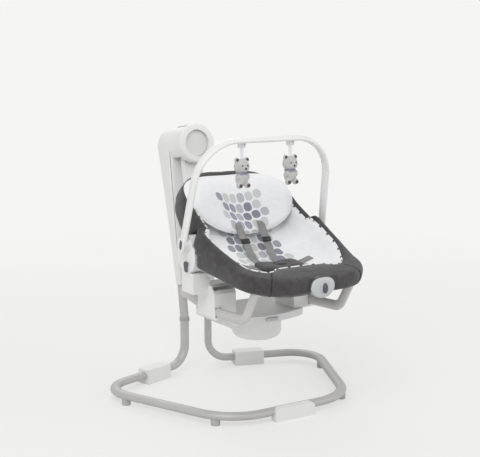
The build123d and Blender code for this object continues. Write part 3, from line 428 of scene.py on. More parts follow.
def clamp(value, ends):
    """Value held between two ends."""
    return max(ends[0], min(ends[1], value))


print("curve helpers ready")

# %% Pieces and lofts


def place_mesh(name, mesh, *finishes):
    """Puts a mesh into the scene as a smooth-shaded piece with its finishes."""
    mesh.materials.clear()
    for finish in finishes:
        mesh.materials.append(finish)
    for polygon in mesh.polygons:
        polygon.use_smooth = True
    piece = bpy.data.objects.new(name, mesh)
    scene.collection.objects.link(piece)
    return piece


def make_piece(name, points, faces, *finishes):
    """A piece from points in the swing's frame and the faces between them."""
    mesh = bpy.data.meshes.new(name)
    mesh.from_pydata([tuple(point) for point in points], [], faces)
    return place_mesh(name, mesh, *finishes)


def tidy_mesh(piece, weld=0.0):
    """Welds points that coincide and turns all faces outward."""
    shape = bmesh.new()
    shape.from_mesh(piece.data)
    if weld:
        bmesh.ops.remove_doubles(shape, verts=shape.verts, dist=weld)
    bmesh.ops.recalc_face_normals(shape, faces=shape.faces)
    shape.to_mesh(piece.data)
    shape.free()


def loft_faces(rows, columns, close_rows=False, close_columns=False):
    """Quads over a grid of rows and columns, numbered row by row."""
    faces = []
    for row in range(rows if close_rows else rows - 1):
        here, there = row * columns, (row + 1) % rows * columns
        for column in range(columns if close_columns else columns - 1):
            beside = (column + 1) % columns
            faces.append((here + column, here + beside, there + beside, there + column))
    return faces


def store_place(piece):
    """Keeps each point's place at rest on the mesh, so a pattern doesn't slide when the cloth bends."""
    places = piece.data.attributes.new("cut_place", "FLOAT_VECTOR", "POINT")
    for point, place in zip(piece.data.vertices, places.data):
        place.vector = point.co


print("loft helpers ready")

# %% [markdown]
# ## The seat's frame of reference
# The seat turns about the two hubs, so the cloth is measured from the hub axis: x to the side, y to the
# back, z up, in millimetres. Two tube rings carry the cover, one for the seat and one for the back, each
# in its own sloping plane. A station is a place on those rings with an outward and an upward direction.

# %% Hub axis
pins_low, pins_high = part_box("hinge_pins")
hub_axis = Vector((0.0, (pins_low.y + pins_high.y) / 2, (pins_low.z + pins_high.z) / 2))


def from_hub(point):
    """A point given from the hub axis in millimetres, in the swing's frame in metres."""
    return hub_axis + Vector(point) * MM


def tilted(slope, x, y, height):
    """A point of a sloping plane through the hub axis, height above it."""
    along = Vector((0, math.cos(slope), math.sin(slope)))
    above = Vector((0, -math.sin(slope), math.cos(slope)))
    return Vector((x, 0, 0)) + y * along + height * above


print("hub axis", tuple(round(value, 4) for value in hub_axis))

# %% Tube rings
FRONT_SLOPE = math.radians(8.9)
BACK_SLOPE = math.radians(41.6)
FRONT_RING = {"hub": (209.0, -40.0), "corner": (178.0, -322.0), "bend": 112.0}
BACK_RING = {"hub": (185.0, 30.0), "corner": (170.0, 262.0), "bend": 136.0}


def ring_half(ring, count):
    """Points and outward directions in a ring's plane, from its hub end to the middle of its far end."""
    start = Vector(ring["hub"])
    corner = Vector(ring["corner"])
    middle = Vector((0.0, corner.y))
    to_start = (start - corner).normalized()
    to_middle = (middle - corner).normalized()
    opening = to_start.angle(to_middle)
    reach = ring["bend"] / math.tan(opening / 2)
    centre = corner + (to_start + to_middle).normalized() * ring["bend"] / math.sin(opening / 2)
    side_length = (start - corner).length - reach
    bend_length = ring["bend"] * (math.pi - opening)
    total = side_length + bend_length + (middle - corner).length - reach
    first = corner + to_start * reach - centre
    turn_sign = math.copysign(1.0, first.x * to_middle.y - first.y * to_middle.x)
    found = []
    for index in range(count):
        length = total * index / (count - 1)
        if length <= side_length:
            point = start - to_start * length
            outward = first.normalized()
        elif length <= side_length + bend_length:
            angle = turn_sign * (length - side_length) / ring["bend"]
            spoke = Matrix.Rotation(angle, 2) @ first
            point = centre + spoke
            outward = spoke.normalized()
        else:
            point = corner + to_middle * (reach + length - side_length - bend_length)
            outward = Vector((0.0, math.copysign(1.0, corner.y)))
        found.append((length / total, point, outward))
    return found


print("seat ring half width", FRONT_RING["hub"][0], "mm, back ring", BACK_RING["hub"][0], "mm")

# %% Ring stations
STATIONS_PER_HALF = 44
HUB_STATIONS = 10
MIRROR = Vector((-1.0, 1.0, 1.0))


def ring_station(slope, key, point, outward):
    """A station on a ring: its key, its place, and its outward and upward directions."""
    return {
        "key": key,
        "at": tilted(slope, point.x, point.y, 0.0),
        "out": tilted(slope, outward.x, outward.y, 0.0),
        "up": tilted(slope, 0.0, 0.0, 1.0),
    }


def half_stations():
    """Stations of the right half, from the middle of the front round the hub to the back's top."""
    front = [
        ring_station(FRONT_SLOPE, 1.0 - share, point, outward)
        for share, point, outward in reversed(ring_half(FRONT_RING, STATIONS_PER_HALF))
    ]
    back = [
        ring_station(BACK_SLOPE, 2.0 + share, point, outward)
        for share, point, outward in ring_half(BACK_RING, STATIONS_PER_HALF)
    ]
    between = []
    for step in range(1, HUB_STATIONS):
        share = step / HUB_STATIONS
        mixed = {name: front[-1][name].lerp(back[0][name], share) for name in ("at", "out", "up")}
        mixed["up"].normalize()
        mixed["out"].normalize()
        mixed["key"] = 1.0 + share
        between.append(mixed)
    return front + between + back


right_half = half_stations()
left_half = [
    {**station, "at": station["at"] * MIRROR, "out": station["out"] * MIRROR} for station in right_half
]
loop = right_half + left_half[-2:0:-1]
print("stations round the seat", len(loop))

# %% [markdown]
# ## Seat cover and liner
# The cover is one padded shell: charcoal cloth outside, white liner inside, sewn together along a piped
# edge. It could be two sheets with a thickness, but a single closed loft is simpler and has no gaps: each
# station gets a section that starts on the underside's middle line, climbs over the padded rim and dives
# to the seat's middle line. The key of a station runs from 0 at the front to 1 and 2 at the hub and 3 at
# the top of the back. Each profile below is a list of shares: outward, then upward.

# %% Cover sections
PIPING_OUT = [(0.0, -87), (0.18, -85), (0.38, -52), (0.57, -34), (0.68, -19), (0.77, -14), (0.92, -15),
              (1.0, -22), (1.5, -23), (2.0, -18), (2.4, -15), (3.0, -18)]
PIPING_UP = [(0.0, 25), (0.38, 25), (0.57, 27), (0.68, 40), (0.77, 50), (0.85, 57), (0.92, 65),
             (1.0, 75), (1.5, 81), (2.0, 76), (2.2, 60), (2.3, 55), (2.6, 46), (3.0, 38)]
BULGE = [(0.0, 20), (0.3, 19), (0.55, 14), (1.0, 13), (2.0, 13), (3.0, 13)]
UNDER = [(0.0, 20), (1.0, 20), (2.0, 13), (3.0, 12)]
SEAT_LINE = [(-200, -38), (-150, -42), (-90, -36), (-45, -22), (-15, -4), (10, 18), (25, 32), (70, 73),
             (130, 126), (175, 166)]
UNDER_LINE = [(-230, -92), (-150, -82), (-60, -70), (-10, -46), (10, -20), (30, 8), (80, 52),
              (150, 114), (185, 146)]
SEAT_LINE_ENDS = (-196.0, 168.0)
UNDER_LINE_ENDS = (-236.0, 178.0)
CREST_RISE = 7.0
HEM_INSET, HEM_SHARE = 24.0, -1.5
UNDER_PROFILE = ((0.0, -1.0), (0.75, -0.6))
SIDE_PROFILE = ((1.0, 0.1), (1.0, 0.5), (0.5, 0.86))
TOP_PROFILE = ((0.25, 1.0), (0.62, 1.0))
LIP_INSET, LIP_DROP = 7.0, 5.0
WALL_INSET, WALL_SHARE = 17.0, 0.55
FOOT_INSET, FOOT_SHARE = 34.0, 0.2
UNDER_SAG_AT, UNDER_SAG = 0.5, 4.0
LINER_SAG_AT, LINER_SAG = 0.45, 3.0
SECTION_STEPS = 4


def section(station):
    """The cover's outer and inner line at a station, which meet at the piping."""
    key, at = station["key"], station["at"]
    out, up = table_value(PIPING_OUT, key), table_value(PIPING_UP, key)
    bulge, under = table_value(BULGE, key), table_value(UNDER, key)
    crest = up + CREST_RISE
    under_y = clamp(at.y, UNDER_LINE_ENDS)
    seat_y = clamp(at.y, SEAT_LINE_ENDS)
    under_middle = Vector((0.0, under_y, table_value(UNDER_LINE, under_y)))
    seat_middle = Vector((0.0, seat_y, table_value(SEAT_LINE, seat_y)))

    def place(o, n):
        return at + station["out"] * o + station["up"] * n

    hem = place(-HEM_INSET, HEM_SHARE * under)
    foot = place(out - FOOT_INSET, FOOT_SHARE * up)
    edge = place(out, up)
    outer = [under_middle, under_middle.lerp(hem, UNDER_SAG_AT) - station["up"] * UNDER_SAG, hem]
    outer += [place(o * bulge, n * under) for o, n in UNDER_PROFILE]
    outer += [place(o * bulge, n * crest) for o, n in SIDE_PROFILE]
    outer += [place(o * out, n * crest) for o, n in TOP_PROFILE]
    outer.append(edge)
    inner = [edge, place(out - LIP_INSET, up - LIP_DROP), place(out - WALL_INSET, WALL_SHARE * up), foot]
    inner += [foot.lerp(seat_middle, LINER_SAG_AT) - station["up"] * LINER_SAG, seat_middle]
    return smooth_line(outer, SECTION_STEPS), smooth_line(inner, SECTION_STEPS)


print("points in a section", sum(len(line) for line in section(loop[0])) - 1)

# %% Seat cover
HUB_CLEAR_R = 54.0
PIVOT_BOSS = (-13.0, 35.0)
PIVOT_CLEAR_R = 30.0
DISC_INNER_X = 170.0
SHOULDER_SPAN = (-44.0, 30.0)
COVER_WELD = 0.0001
WRINKLE = 1.1
WRINKLE_SCALE = 38.0


def clear_of_hub(point):
    """Tucks the cloth inside the hub discs, the pivot boss and the shoulder that carries them."""
    in_hub = math.hypot(point.y, point.z) < HUB_CLEAR_R
    in_boss = math.hypot(point.y - PIVOT_BOSS[0], point.z - PIVOT_BOSS[1]) < PIVOT_CLEAR_R
    over_leg = SHOULDER_SPAN[0] < point.y < SHOULDER_SPAN[1] and point.z < 0
    if in_hub or in_boss or over_leg:
        point.x = clamp(point.x, (-DISC_INNER_X, DISC_INNER_X))
    return point


cover_points = []
piping_line = []
for station in loop:
    outer, inner = section(station)
    cover_points += [from_hub(clear_of_hub(point)) for point in outer + inner[1:]]
    piping_line.append(from_hub(outer[-1]))
outer_count = len(outer)
row_length = outer_count + len(inner) - 1
cover_faces = loft_faces(len(loop), row_length, close_rows=True)
seat_cover = make_piece("seat_cover", cover_points, cover_faces, charcoal_cloth, white_cloth)
for index, polygon in enumerate(seat_cover.data.polygons):
    if index % (row_length - 1) >= outer_count - 1:
        polygon.material_index = 1
tidy_mesh(seat_cover, weld=COVER_WELD)
for vertex, normal in [(v, v.normal.copy()) for v in seat_cover.data.vertices]:
    vertex.co += normal * WRINKLE * MM * noise.noise(vertex.co * WRINKLE_SCALE)
store_place(seat_cover)
print("seat cover", len(seat_cover.data.vertices), "points")

# %% Height of the liner
PROBE_HEIGHT = 200.0
DIP_Y = -150.0

liner_tree = BVHTree.FromPolygons(
    [vertex.co.copy() for vertex in seat_cover.data.vertices],
    [tuple(polygon.vertices) for polygon in seat_cover.data.polygons],
)


def liner_height(x, y):
    """How high the liner lies at a place, from the hub axis in millimetres."""
    hit = liner_tree.ray_cast(from_hub((x, y, PROBE_HEIGHT)), Vector((0, 0, -1)))[0]
    return (hit.z - hub_axis.z) / MM


print("liner's dip at", round(liner_height(0.0, DIP_Y), 1), "mm from the hub axis")

# %% [markdown]
# ## A printed strip down the liner
# The middle of the liner carries a soft grey print. Here it is plain staggered rows of seeds in four
# tones, drawn by arithmetic on the stored cut: cells across and along, a seed in each, a tone picked per
# cell. It could be a painted picture, but a few nodes stay sharp at any distance.

# %% Seeds
CELL_WIDE = 0.026
CELL_LONG = 0.032
SEED_WIDE = 0.5
SEED_LONG = 0.5
SEED_EDGE = 0.76
ALONG_Y = 0.75
ALONG_Z = 0.66


def sum_maker(finish):
    """Returns a helper that adds one arithmetic node to a finish."""
    nodes = finish.node_tree.nodes
    links = finish.node_tree.links

    def sum_node(operation, first, second=None):
        node = nodes.new("ShaderNodeMath")
        node.operation = operation
        for socket, value in zip(node.inputs, (first, second)):
            if value is None:
                continue
            if isinstance(value, (int, float)):
                socket.default_value = value
            else:
                links.new(value, socket)
        return node.outputs[0]

    return sum_node


def seed_cells(finish, half_width, top):
    """Where ink lies in a strip of seeds, with the row and column of each cell."""
    calc = sum_maker(finish)
    split = finish.node_tree.nodes.new("ShaderNodeSeparateXYZ")
    finish.node_tree.links.new(texture_place(finish, "cut_place"), split.inputs[0])
    back = calc("MULTIPLY", split.outputs["Y"], ALONG_Y)
    along = calc("ADD", back, calc("MULTIPLY", split.outputs["Z"], ALONG_Z))
    row = calc("DIVIDE", along, CELL_LONG)
    row_number = calc("FLOOR", row)
    shift = calc("MULTIPLY", calc("MODULO", row_number, 2.0), 0.5)
    column = calc("ADD", calc("DIVIDE", split.outputs["X"], CELL_WIDE), shift)
    column_number = calc("FLOOR", column)
    x = calc("DIVIDE", calc("SUBTRACT", calc("FRACT", column), 0.5), SEED_WIDE)
    y = calc("DIVIDE", calc("SUBTRACT", calc("FRACT", row), 0.5), SEED_LONG)
    tip = calc("MULTIPLY", calc("MULTIPLY", y, y), calc("ABSOLUTE", y))
    inside = calc("LESS_THAN", calc("ADD", calc("MULTIPLY", x, x), tip), SEED_EDGE)
    column_middle = calc("SUBTRACT", calc("ADD", column_number, 0.5), shift)
    off_middle = calc("ABSOLUTE", calc("MULTIPLY", column_middle, CELL_WIDE))
    strip = calc("LESS_THAN", off_middle, half_width)
    below = calc("LESS_THAN", calc("MULTIPLY", row_number, CELL_LONG), top)
    ink = calc("MULTIPLY", inside, calc("MULTIPLY", strip, below))
    return ink, row_number, column_number


print("print cells", CELL_WIDE, "by", CELL_LONG, "m")

# %% Printed cloth
LINER_PRINT = (0.085, 1.0)
PILLOW_PRINT = (0.066, 0.39)
PRINT_TONES = ((0.27, 0.28, 0.34), (0.52, 0.52, 0.58), (0.63, 0.66, 0.65), (0.36, 0.37, 0.43))


def printed_cloth(name, half_width, top):
    """White cloth with a strip of seeds down its middle, printed up to a distance along the cut."""
    finish = cloth_finish(name, *WHITE_KNIT, "cut_place")
    nodes = finish.node_tree.nodes
    links = finish.node_tree.links
    ink, row_number, column_number = seed_cells(finish, half_width, top)
    cell = nodes.new("ShaderNodeCombineXYZ")
    links.new(row_number, cell.inputs[0])
    links.new(column_number, cell.inputs[1])
    pick = nodes.new("ShaderNodeTexWhiteNoise")
    links.new(cell.outputs[0], pick.inputs["Vector"])
    tones = nodes.new("ShaderNodeValToRGB")
    tones.color_ramp.interpolation = "CONSTANT"
    while len(tones.color_ramp.elements) < len(PRINT_TONES):
        tones.color_ramp.elements.new(0.5)
    for index, (element, tone) in enumerate(zip(tones.color_ramp.elements, PRINT_TONES)):
        element.position = index / len(PRINT_TONES)
        element.color = (*tone, 1.0)
    links.new(pick.outputs["Value"], tones.inputs["Fac"])
    mix = nodes.new("ShaderNodeMix")
    mix.data_type = "RGBA"
    base = nodes["Principled BSDF"].inputs["Base Color"]
    plain = base.links[0].from_socket
    links.new(ink, mix.inputs["Factor"])
    links.new(plain, mix.inputs["A"])
    links.new(tones.outputs["Color"], mix.inputs["B"])
    links.new(mix.outputs["Result"], base)
    return finish


seat_cover.data.materials[1] = printed_cloth("printed_liner", *LINER_PRINT)
print("print tones", len(PRINT_TONES))

# %% Cover in place of the solid seat parts
RECLINE_START = (0, -35, 0)
RECLINE_END = (0, 40, 30)


def bend_with_recline(piece):
    """Bakes a piece's placing into its points. The hinge ends are worked out but unused, so it doesn't
    bend.
    """
    from_hub(RECLINE_START)
    from_hub(RECLINE_END)
    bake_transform(piece)


bend_with_recline(seat_cover)
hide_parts("front_rim", "seat_sling", "seat_pad", "back_panel", "back_rim", "back_pad")
print("the cover bends from", RECLINE_START, "to", RECLINE_END)

# %% [markdown]
# ## Piping and seams
# A thin corded edge runs round the join of cover and liner, white with short dark dashes. It is one closed
# tube whose faces alternate between two finishes, which needs no texture at all. The cover's panel seams
# are finer cords laid along the sections where the panels meet.

# %% Cord helper
CORD_REFERENCE = Vector((0.13, 0.2, 0.97))


def end_caps(rows, columns):
    """One face over the first row of a loft and one over its last."""
    return [tuple(range(columns)), tuple(range((rows - 1) * columns, rows * columns))]


def make_tube(name, line, radius, finish, sides=8, closed=False):
    """A round cord along a line of points, capped at its ends unless it is closed."""
    rows = []
    count = len(line)
    for index, point in enumerate(line):
        before = line[index - 1] if closed or index else line[index]
        after = line[(index + 1) % count] if closed or index + 1 < count else line[index]
        along = (after - before).normalized()
        side = along.cross(CORD_REFERENCE).normalized()
        up = side.cross(along)
        for turn in range(sides):
            angle = 2 * math.pi * turn / sides
            rows.append(point + radius * (math.cos(angle) * side + math.sin(angle) * up))
    faces = loft_faces(count, sides, close_rows=closed, close_columns=True)
    if not closed:
        faces += end_caps(count, sides)
    tube = make_piece(name, rows, faces, finish)
    tidy_mesh(tube)
    return tube


print("cord helper ready")

# %% Piping
PIPING_R = 2.7
PIPING_SIDES = 8
DASH_EVERY = 4
DASH_LONG = 1

piping = make_tube("edge_piping", piping_line, PIPING_R * MM, white_cloth, PIPING_SIDES, closed=True)
piping.data.materials.append(slate_cloth)
for index, polygon in enumerate(piping.data.polygons):
    if (index // PIPING_SIDES) % DASH_EVERY < DASH_LONG:
        polygon.material_index = 1
store_place(piping)
bend_with_recline(piping)
print("piping segments", len(piping_line))

# %% Seams
SEAM_R = 0.9
SEAM_SIDES = 6
SEAM_KEYS = (0.33, 2.52)
HUB_KEY = 1.5

seam_thread = cloth_finish("seam_thread", (0.022, 0.021, 0.022), 0.2, 0.001, 0.6, 0.0)
seam_count = 0
for half_name, half in (("right", right_half), ("left", left_half)):
    for seam_key in SEAM_KEYS:
        station = min(half, key=lambda s: abs(s["key"] - seam_key))
        outer = section(station)[0]
        seam_line = [from_hub(point) for point in outer[2 * SECTION_STEPS:-SECTION_STEPS]]
        seam_count += 1
        seam_name = f"cover_seam_{half_name}_{seam_count}"
        seam = make_tube(seam_name, seam_line, SEAM_R * MM, seam_thread, SEAM_SIDES)
        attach(seam, "seat" if seam_key < HUB_KEY else "backrest")
print("seams", seam_count)

# %% [markdown]
# ## Head support
# A big white oval pillow lies in the top of the back, thicker round its rim and hollowed for the head. It
# is built as rings from its middle to its edge, once for the face and once for the underside, so that it
# closes at a sewn edge. The face height is a formula: crowned across, dished in the hollow, and cradled up
# towards the sides.

# %% Cushion helper
CUSHION_GRID = (18, 80)
CUSHION_WELD = 0.00005


def oblong(angle, squareness):
    """A point of a unit oval, which is round at a squareness of 2 and boxier above it."""
    circle = (math.cos(angle), math.sin(angle))
    return [math.copysign(abs(value) ** (2 / squareness), value) for value in circle]


def crown_at(share, power):
    """How full a cushion is at a share of the way to its edge: 1 in the middle and 0 at the edge."""
    return math.sqrt(max(0.0, 1.0 - share**power))


def make_cushion(name, half_wide, half_long, squareness, surface, finish, grid=CUSHION_GRID):
    """A closed cushion: rings from the middle to an oblong edge, once over its face and once under it."""
    rings, spokes = grid
    points = []
    for face in (True, False):
        for ring in range(1, rings + 1):
            share = math.sin(math.pi / 2 * ring / rings)
            for spoke in range(spokes):
                x, y = oblong(2 * math.pi * spoke / spokes, squareness)
                points.append(surface(half_wide * x * share, half_long * y * share, share, face))
        points.append(surface(0.0, 0.0, 0.0, face))
    faces = []
    side_count = rings * spokes + 1
    for base in (0, side_count):
        faces += [tuple(base + i for i in quad) for quad in loft_faces(rings, spokes, close_columns=True)]
        for spoke in range(spokes):
            faces.append((base + spoke, base + (spoke + 1) % spokes, base + side_count - 1))
    cushion = make_piece(name, points, faces, finish)
    tidy_mesh(cushion, weld=CUSHION_WELD)
    return cushion


print("cushion helper ready")

# %% Pillow surface
PILLOW_MIDDLE = 150.0
PILLOW_HALF = (174.0, 112.0)
PILLOW_CROWN = 3.2
PILLOW_THICK = 36.0
PILLOW_UNDER = 6.0
PILLOW_LOW = 24.0
PILLOW_CRADLE = 40.0
HOLLOW_AT = -46.0
HOLLOW_HALF = (66.0, 72.0)
HOLLOW_DEEP = 0.8
LUMP = 1.4
LUMP_SCALE = 0.028
LUMP_SLICE = 7.0


def pillow_surface(x, y, share, face):
    """A point of the pillow at a share of the way to its edge, on its face or its underside."""
    height = PILLOW_LOW + PILLOW_CRADLE * (x / PILLOW_HALF[0]) ** 2
    crown = crown_at(share, PILLOW_CROWN)
    if face:
        hollow = math.exp(-((x / HOLLOW_HALF[0]) ** 2) - ((y - HOLLOW_AT) / HOLLOW_HALF[1]) ** 2)
        height += PILLOW_THICK * crown * (1.0 - HOLLOW_DEEP * hollow)
        height += LUMP * noise.noise(Vector((x, y, LUMP_SLICE)) * LUMP_SCALE) * crown
    else:
        height -= PILLOW_UNDER * crown
    return from_hub(tilted(BACK_SLOPE, x, PILLOW_MIDDLE + y, height))


print("pillow", 2 * PILLOW_HALF[0], "by", 2 * PILLOW_HALF[1], "mm")

# %% Head pillow and its seam
PILLOW_SQUARENESS = 2.4
PILLOW_GRID = (22, 96)
PILLOW_SEAM_R = 1.6

head_support = make_cushion(
    "head_pillow", *PILLOW_HALF, PILLOW_SQUARENESS, pillow_surface,
    printed_cloth("printed_pillow", *PILLOW_PRINT), PILLOW_GRID,
)
store_place(head_support)
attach(head_support, "backrest")
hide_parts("head_support")
pillow_edge = []
for spoke in range(PILLOW_GRID[1]):
    x, y = oblong(2 * math.pi * spoke / PILLOW_GRID[1], PILLOW_SQUARENESS)
    pillow_edge.append(pillow_surface(PILLOW_HALF[0] * x, PILLOW_HALF[1] * y, 1.0, True))
pillow_seam = make_tube("head_pillow_seam", pillow_edge, PILLOW_SEAM_R * MM, white_cloth, closed=True)
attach(pillow_seam, "backrest")
print("head pillow", len(head_support.data.vertices), "points")

# %% [markdown]
# ## Harness
# Two webbing straps come out of the pillow's hollow, run over its lower edge and down to a dark padded
# crotch piece, each with a black slide. Two short waist straps lie on the liner beside it. Webbing is flat
# and keeps its width, so each strap is a ribbon swept along what it lies on. The shoulder straps cross the
# recline hinge.

# %% Webbing helper
SIDES = (("left", -1), ("right", 1))
SIDEWAYS = Vector((1, 0, 0))
STRAP_WIDE = 24.0
STRAP_THICK = 2.2
STRAP_STEPS = 5
EASED_SHARE = 0.3


def line_length(points):
    """The length of a line of points."""
    return sum((b - a).length for a, b in zip(points, points[1:]))


def make_ribbon(name, line, normals, wide, thick, finish, acrosses=None):
    """Flat webbing along a line: a thin rectangle with eased edges, across x unless told otherwise."""
    ease = EASED_SHARE * thick
    half = wide / 2
    profile = [(-half + ease, 0), (half - ease, 0), (half, ease), (half, thick - ease)]
    profile += [(half - ease, thick), (-half + ease, thick), (-half, thick - ease), (-half, ease)]
    rows = []
    for point, normal, across in zip(line, normals, acrosses or [SIDEWAYS] * len(line)):
        rows += [point + across * x + normal * height for x, height in profile]
    faces = loft_faces(len(line), len(profile), close_columns=True) + end_caps(len(line), len(profile))
    ribbon = make_piece(name, rows, faces, finish)
    tidy_mesh(ribbon)
    return ribbon


def make_strap(name, line, normals, acrosses=None):
    """Harness webbing along a line that is measured from the hub axis in millimetres."""
    line = [from_hub(point) for point in line]
    return make_ribbon(name, line, normals, STRAP_WIDE * MM, STRAP_THICK * MM, grey_webbing, acrosses)


print("webbing", STRAP_WIDE, "by", STRAP_THICK, "mm")

# %% Shoulder straps
STRAP_TOP_X = 42.0
STRAP_END_X = 30.0
STRAP_OVER_PILLOW = ((32.0, 62.0), (22.0, 74.0), (8.0, 58.0), (-8.0, 36.0), (-32.0, 8.0))
STRAP_ON_LINER = (-62.0, -88.0, -112.0)
SLIDE_AT = 17
SLIDE_OVERHANG = 5.0
SLIDE_THICK = 3.5


def shoulder_line(side):
    """The line of a shoulder strap, and the directions that point up from what it lies on."""
    pillow_count = len(STRAP_OVER_PILLOW)
    spans = pillow_count + len(STRAP_ON_LINER) - 1
    drift = STRAP_END_X - STRAP_TOP_X
    across = [side * (STRAP_TOP_X + drift * index / spans) for index in range(spans + 1)]
    guide = [(x, y, z) for x, (y, z) in zip(across, STRAP_OVER_PILLOW)]
    for x, y in zip(across[pillow_count:], STRAP_ON_LINER):
        guide.append((x, y, liner_height(x, y) + STRAP_THICK))
    line = smooth_line(guide, STRAP_STEPS)
    runs = [after - before for before, after in zip(line[:1] + line, line[1:] + line[-1:])]
    return line, [SIDEWAYS.cross(-run).normalized() for run in runs]


for side_name, side in SIDES:
    strap_line, normals = shoulder_line(side)
    strap = make_strap(f"shoulder_strap_{side_name}", strap_line, normals)
    strap_long = line_length(strap_line)
    bend_with_recline(strap)
    near = slice(SLIDE_AT - 1, SLIDE_AT + 2)
    slide_line = [from_hub(p + n * STRAP_THICK) for p, n in zip(strap_line[near], normals[near])]
    slide_wide = STRAP_WIDE + SLIDE_OVERHANG
    slide = make_ribbon(
        f"strap_slide_{side_name}", slide_line, normals[near], slide_wide * MM, SLIDE_THICK * MM, black_clip
    )
    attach(slide, "seat")
    if side < 0:
        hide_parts("shoulder_straps")
        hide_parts("strap_adjusters")
print("shoulder straps 2, each", round(strap_long), "mm long")

# %% Waist straps
WAIST_PATH = ((60.0, -134.0), (84.0, -130.0), (108.0, -126.0), (126.0, -122.0))
WAIST_LIFT = 0.5
WAIST_TUCK_X = 117.0
WAIST_TUCK_SLOPE = 0.5


def waist_lay(side):
    """The line of a waist strap on the liner, with its upward and its crossways directions."""
    line, normals, acrosses = [], [], []
    for x, y in smooth_line([(side * x, y) for x, y in WAIST_PATH], STRAP_STEPS):
        front, rear = y - STRAP_WIDE / 2, y + STRAP_WIDE / 2
        front_edge = Vector((x, front, liner_height(x, front)))
        rear_edge = Vector((x, rear, liner_height(x, rear)))
        across = (rear_edge - front_edge).normalized()
        rise = liner_height(x + side, y) - liner_height(x, y)
        normal = Vector((1.0, 0.0, side * rise)).cross(across).normalized()
        lift = WAIST_LIFT - max(0.0, abs(x) - WAIST_TUCK_X) * WAIST_TUCK_SLOPE
        line.append((front_edge + rear_edge) / 2 + normal * lift)
        normals.append(normal)
        acrosses.append(across)
    return line, normals, acrosses


for side_name, side in SIDES:
    waist_line, normals, acrosses = waist_lay(side)
    waist = make_strap(f"waist_strap_{side_name}", waist_line, normals, acrosses)
    waist_long = line_length(waist_line)
    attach(waist, "seat")
    if side < 0:
        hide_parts("waist_straps")
print("waist straps 2, each", round(waist_long), "mm long")

# %% Crotch pad and buckle
CROTCH_Y = -142.0
CROTCH_HALF = (70.0, 42.0)
CROTCH_THICK = 15.0
CROTCH_CROWN = 4
CROTCH_EDGE = 4.0
CROTCH_UNDER = 2.0
BUCKLE_HALF = (20.0, 15.0)
BUCKLE_GRID = (10, 48)
BUCKLE_CROWN = 6
BUCKLE_RISE = 5.0
BUCKLE_SINK = 3.0
PAD_SQUARENESS = 4.0


def crotch_surface(x, y, share, face):
    """A point of the crotch pad, a rounded oblong cushion lying on the liner."""
    crown = crown_at(share, CROTCH_CROWN)
    height = CROTCH_EDGE + CROTCH_THICK * crown if face else CROTCH_EDGE - CROTCH_UNDER * crown
    return from_hub((x, CROTCH_Y + y, liner_height(x, CROTCH_Y + y) + height))


def buckle_surface(x, y, share, face):
    """A point of the low rounded buckle on top of the crotch pad."""
    crown = crown_at(share, BUCKLE_CROWN)
    height = CROTCH_EDGE + CROTCH_THICK + (BUCKLE_RISE * crown if face else -BUCKLE_SINK)
    return from_hub((x, CROTCH_Y + y, liner_height(0.0, CROTCH_Y) + height))


crotch_pad = make_cushion("crotch_cushion", *CROTCH_HALF, PAD_SQUARENESS, crotch_surface, charcoal_cloth)
store_place(crotch_pad)
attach(crotch_pad, "seat")
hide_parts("crotch_pad")
buckle = make_cushion("buckle_cover", *BUCKLE_HALF, PAD_SQUARENESS, buckle_surface, black_clip, BUCKLE_GRID)
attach(buckle, "seat")
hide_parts("harness_buckle")
print("crotch pad", len(crotch_pad.data.vertices), "points")

# %% [markdown]
# ## Vibration module and dial
# A small pale module is clipped to the front of the frame: a shield shape, wide at the top and narrow
# below, with a dark arc of trim over it and an oval knob that turns. Shell, plate and knob are cushion
# meshes with a hard finish, because a domed moulding has the same crowned shape as a pad, only stiffer.

# %% Vibration module
MODULE_HALF = (38.0, 28.0)
MODULE_SQUARENESS = 2.6
MODULE_NARROWS = 0.34
NARROWING_POWER = 1.4
MODULE_CROWN = 5
DOME_DEPTH = 0.010
BACK_INSET = 0.014

module_low, module_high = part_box("vibration_module")
module_middle_z = (module_low.z + module_high.z) / 2


def shield(x, y):
    """Narrows an oval towards its foot."""
    return x * (1.0 - MODULE_NARROWS * max(0.0, -y / MODULE_HALF[1]) ** NARROWING_POWER), y


def module_surface(x, y, share, face):
    """A point of the module's domed front or its flat back."""
    x, y = shield(x, y)
    front = module_low.y + DOME_DEPTH * (1.0 - crown_at(share, MODULE_CROWN))
    return Vector((x * MM, front if face else module_high.y - BACK_INSET, module_middle_z + y * MM))


module = make_cushion("module_shell", *MODULE_HALF, MODULE_SQUARENESS, module_surface, module_plastic)
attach(module, "seat")
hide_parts("vibration_module")
print("module width", 2 * MODULE_HALF[0], "mm")

# %% Trim over the module
TRIM_R = 2.4
TRIM_OUT = 1.5
TRIM_START = 10
TRIM_SWEEP = 160
TRIM_STEPS = 24

trim_wide, trim_tall = (half + TRIM_OUT for half in MODULE_HALF)
trim_line = []
for step in range(TRIM_STEPS + 1):
    angle = math.radians(TRIM_START + TRIM_SWEEP * step / TRIM_STEPS)
    x, y = shield(trim_wide * math.cos(angle), trim_tall * math.sin(angle))
    trim_line.append(Vector((x * MM, module_low.y + DOME_DEPTH, module_middle_z + y * MM)))
trim = make_tube("module_trim", trim_line, TRIM_R * MM, slate_plastic)
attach(trim, "seat")
print("trim sweeps", TRIM_SWEEP, "degrees")

# %% Dial
DIAL_HALF = (14.5, 14.5)
DIAL_GRID = (8, 64)
DIAL_SQUARENESS = 2.0
DIAL_TOP, DIAL_FOOT = 2.0, 0.4
KNOB_HALF = (8.0, 14.0)
KNOB_GRID = (12, 48)
KNOB_SQUARENESS = 2.2
KNOB_TOP, KNOB_FOOT = 8.0, 1.4
DIAL_CROWN = 4


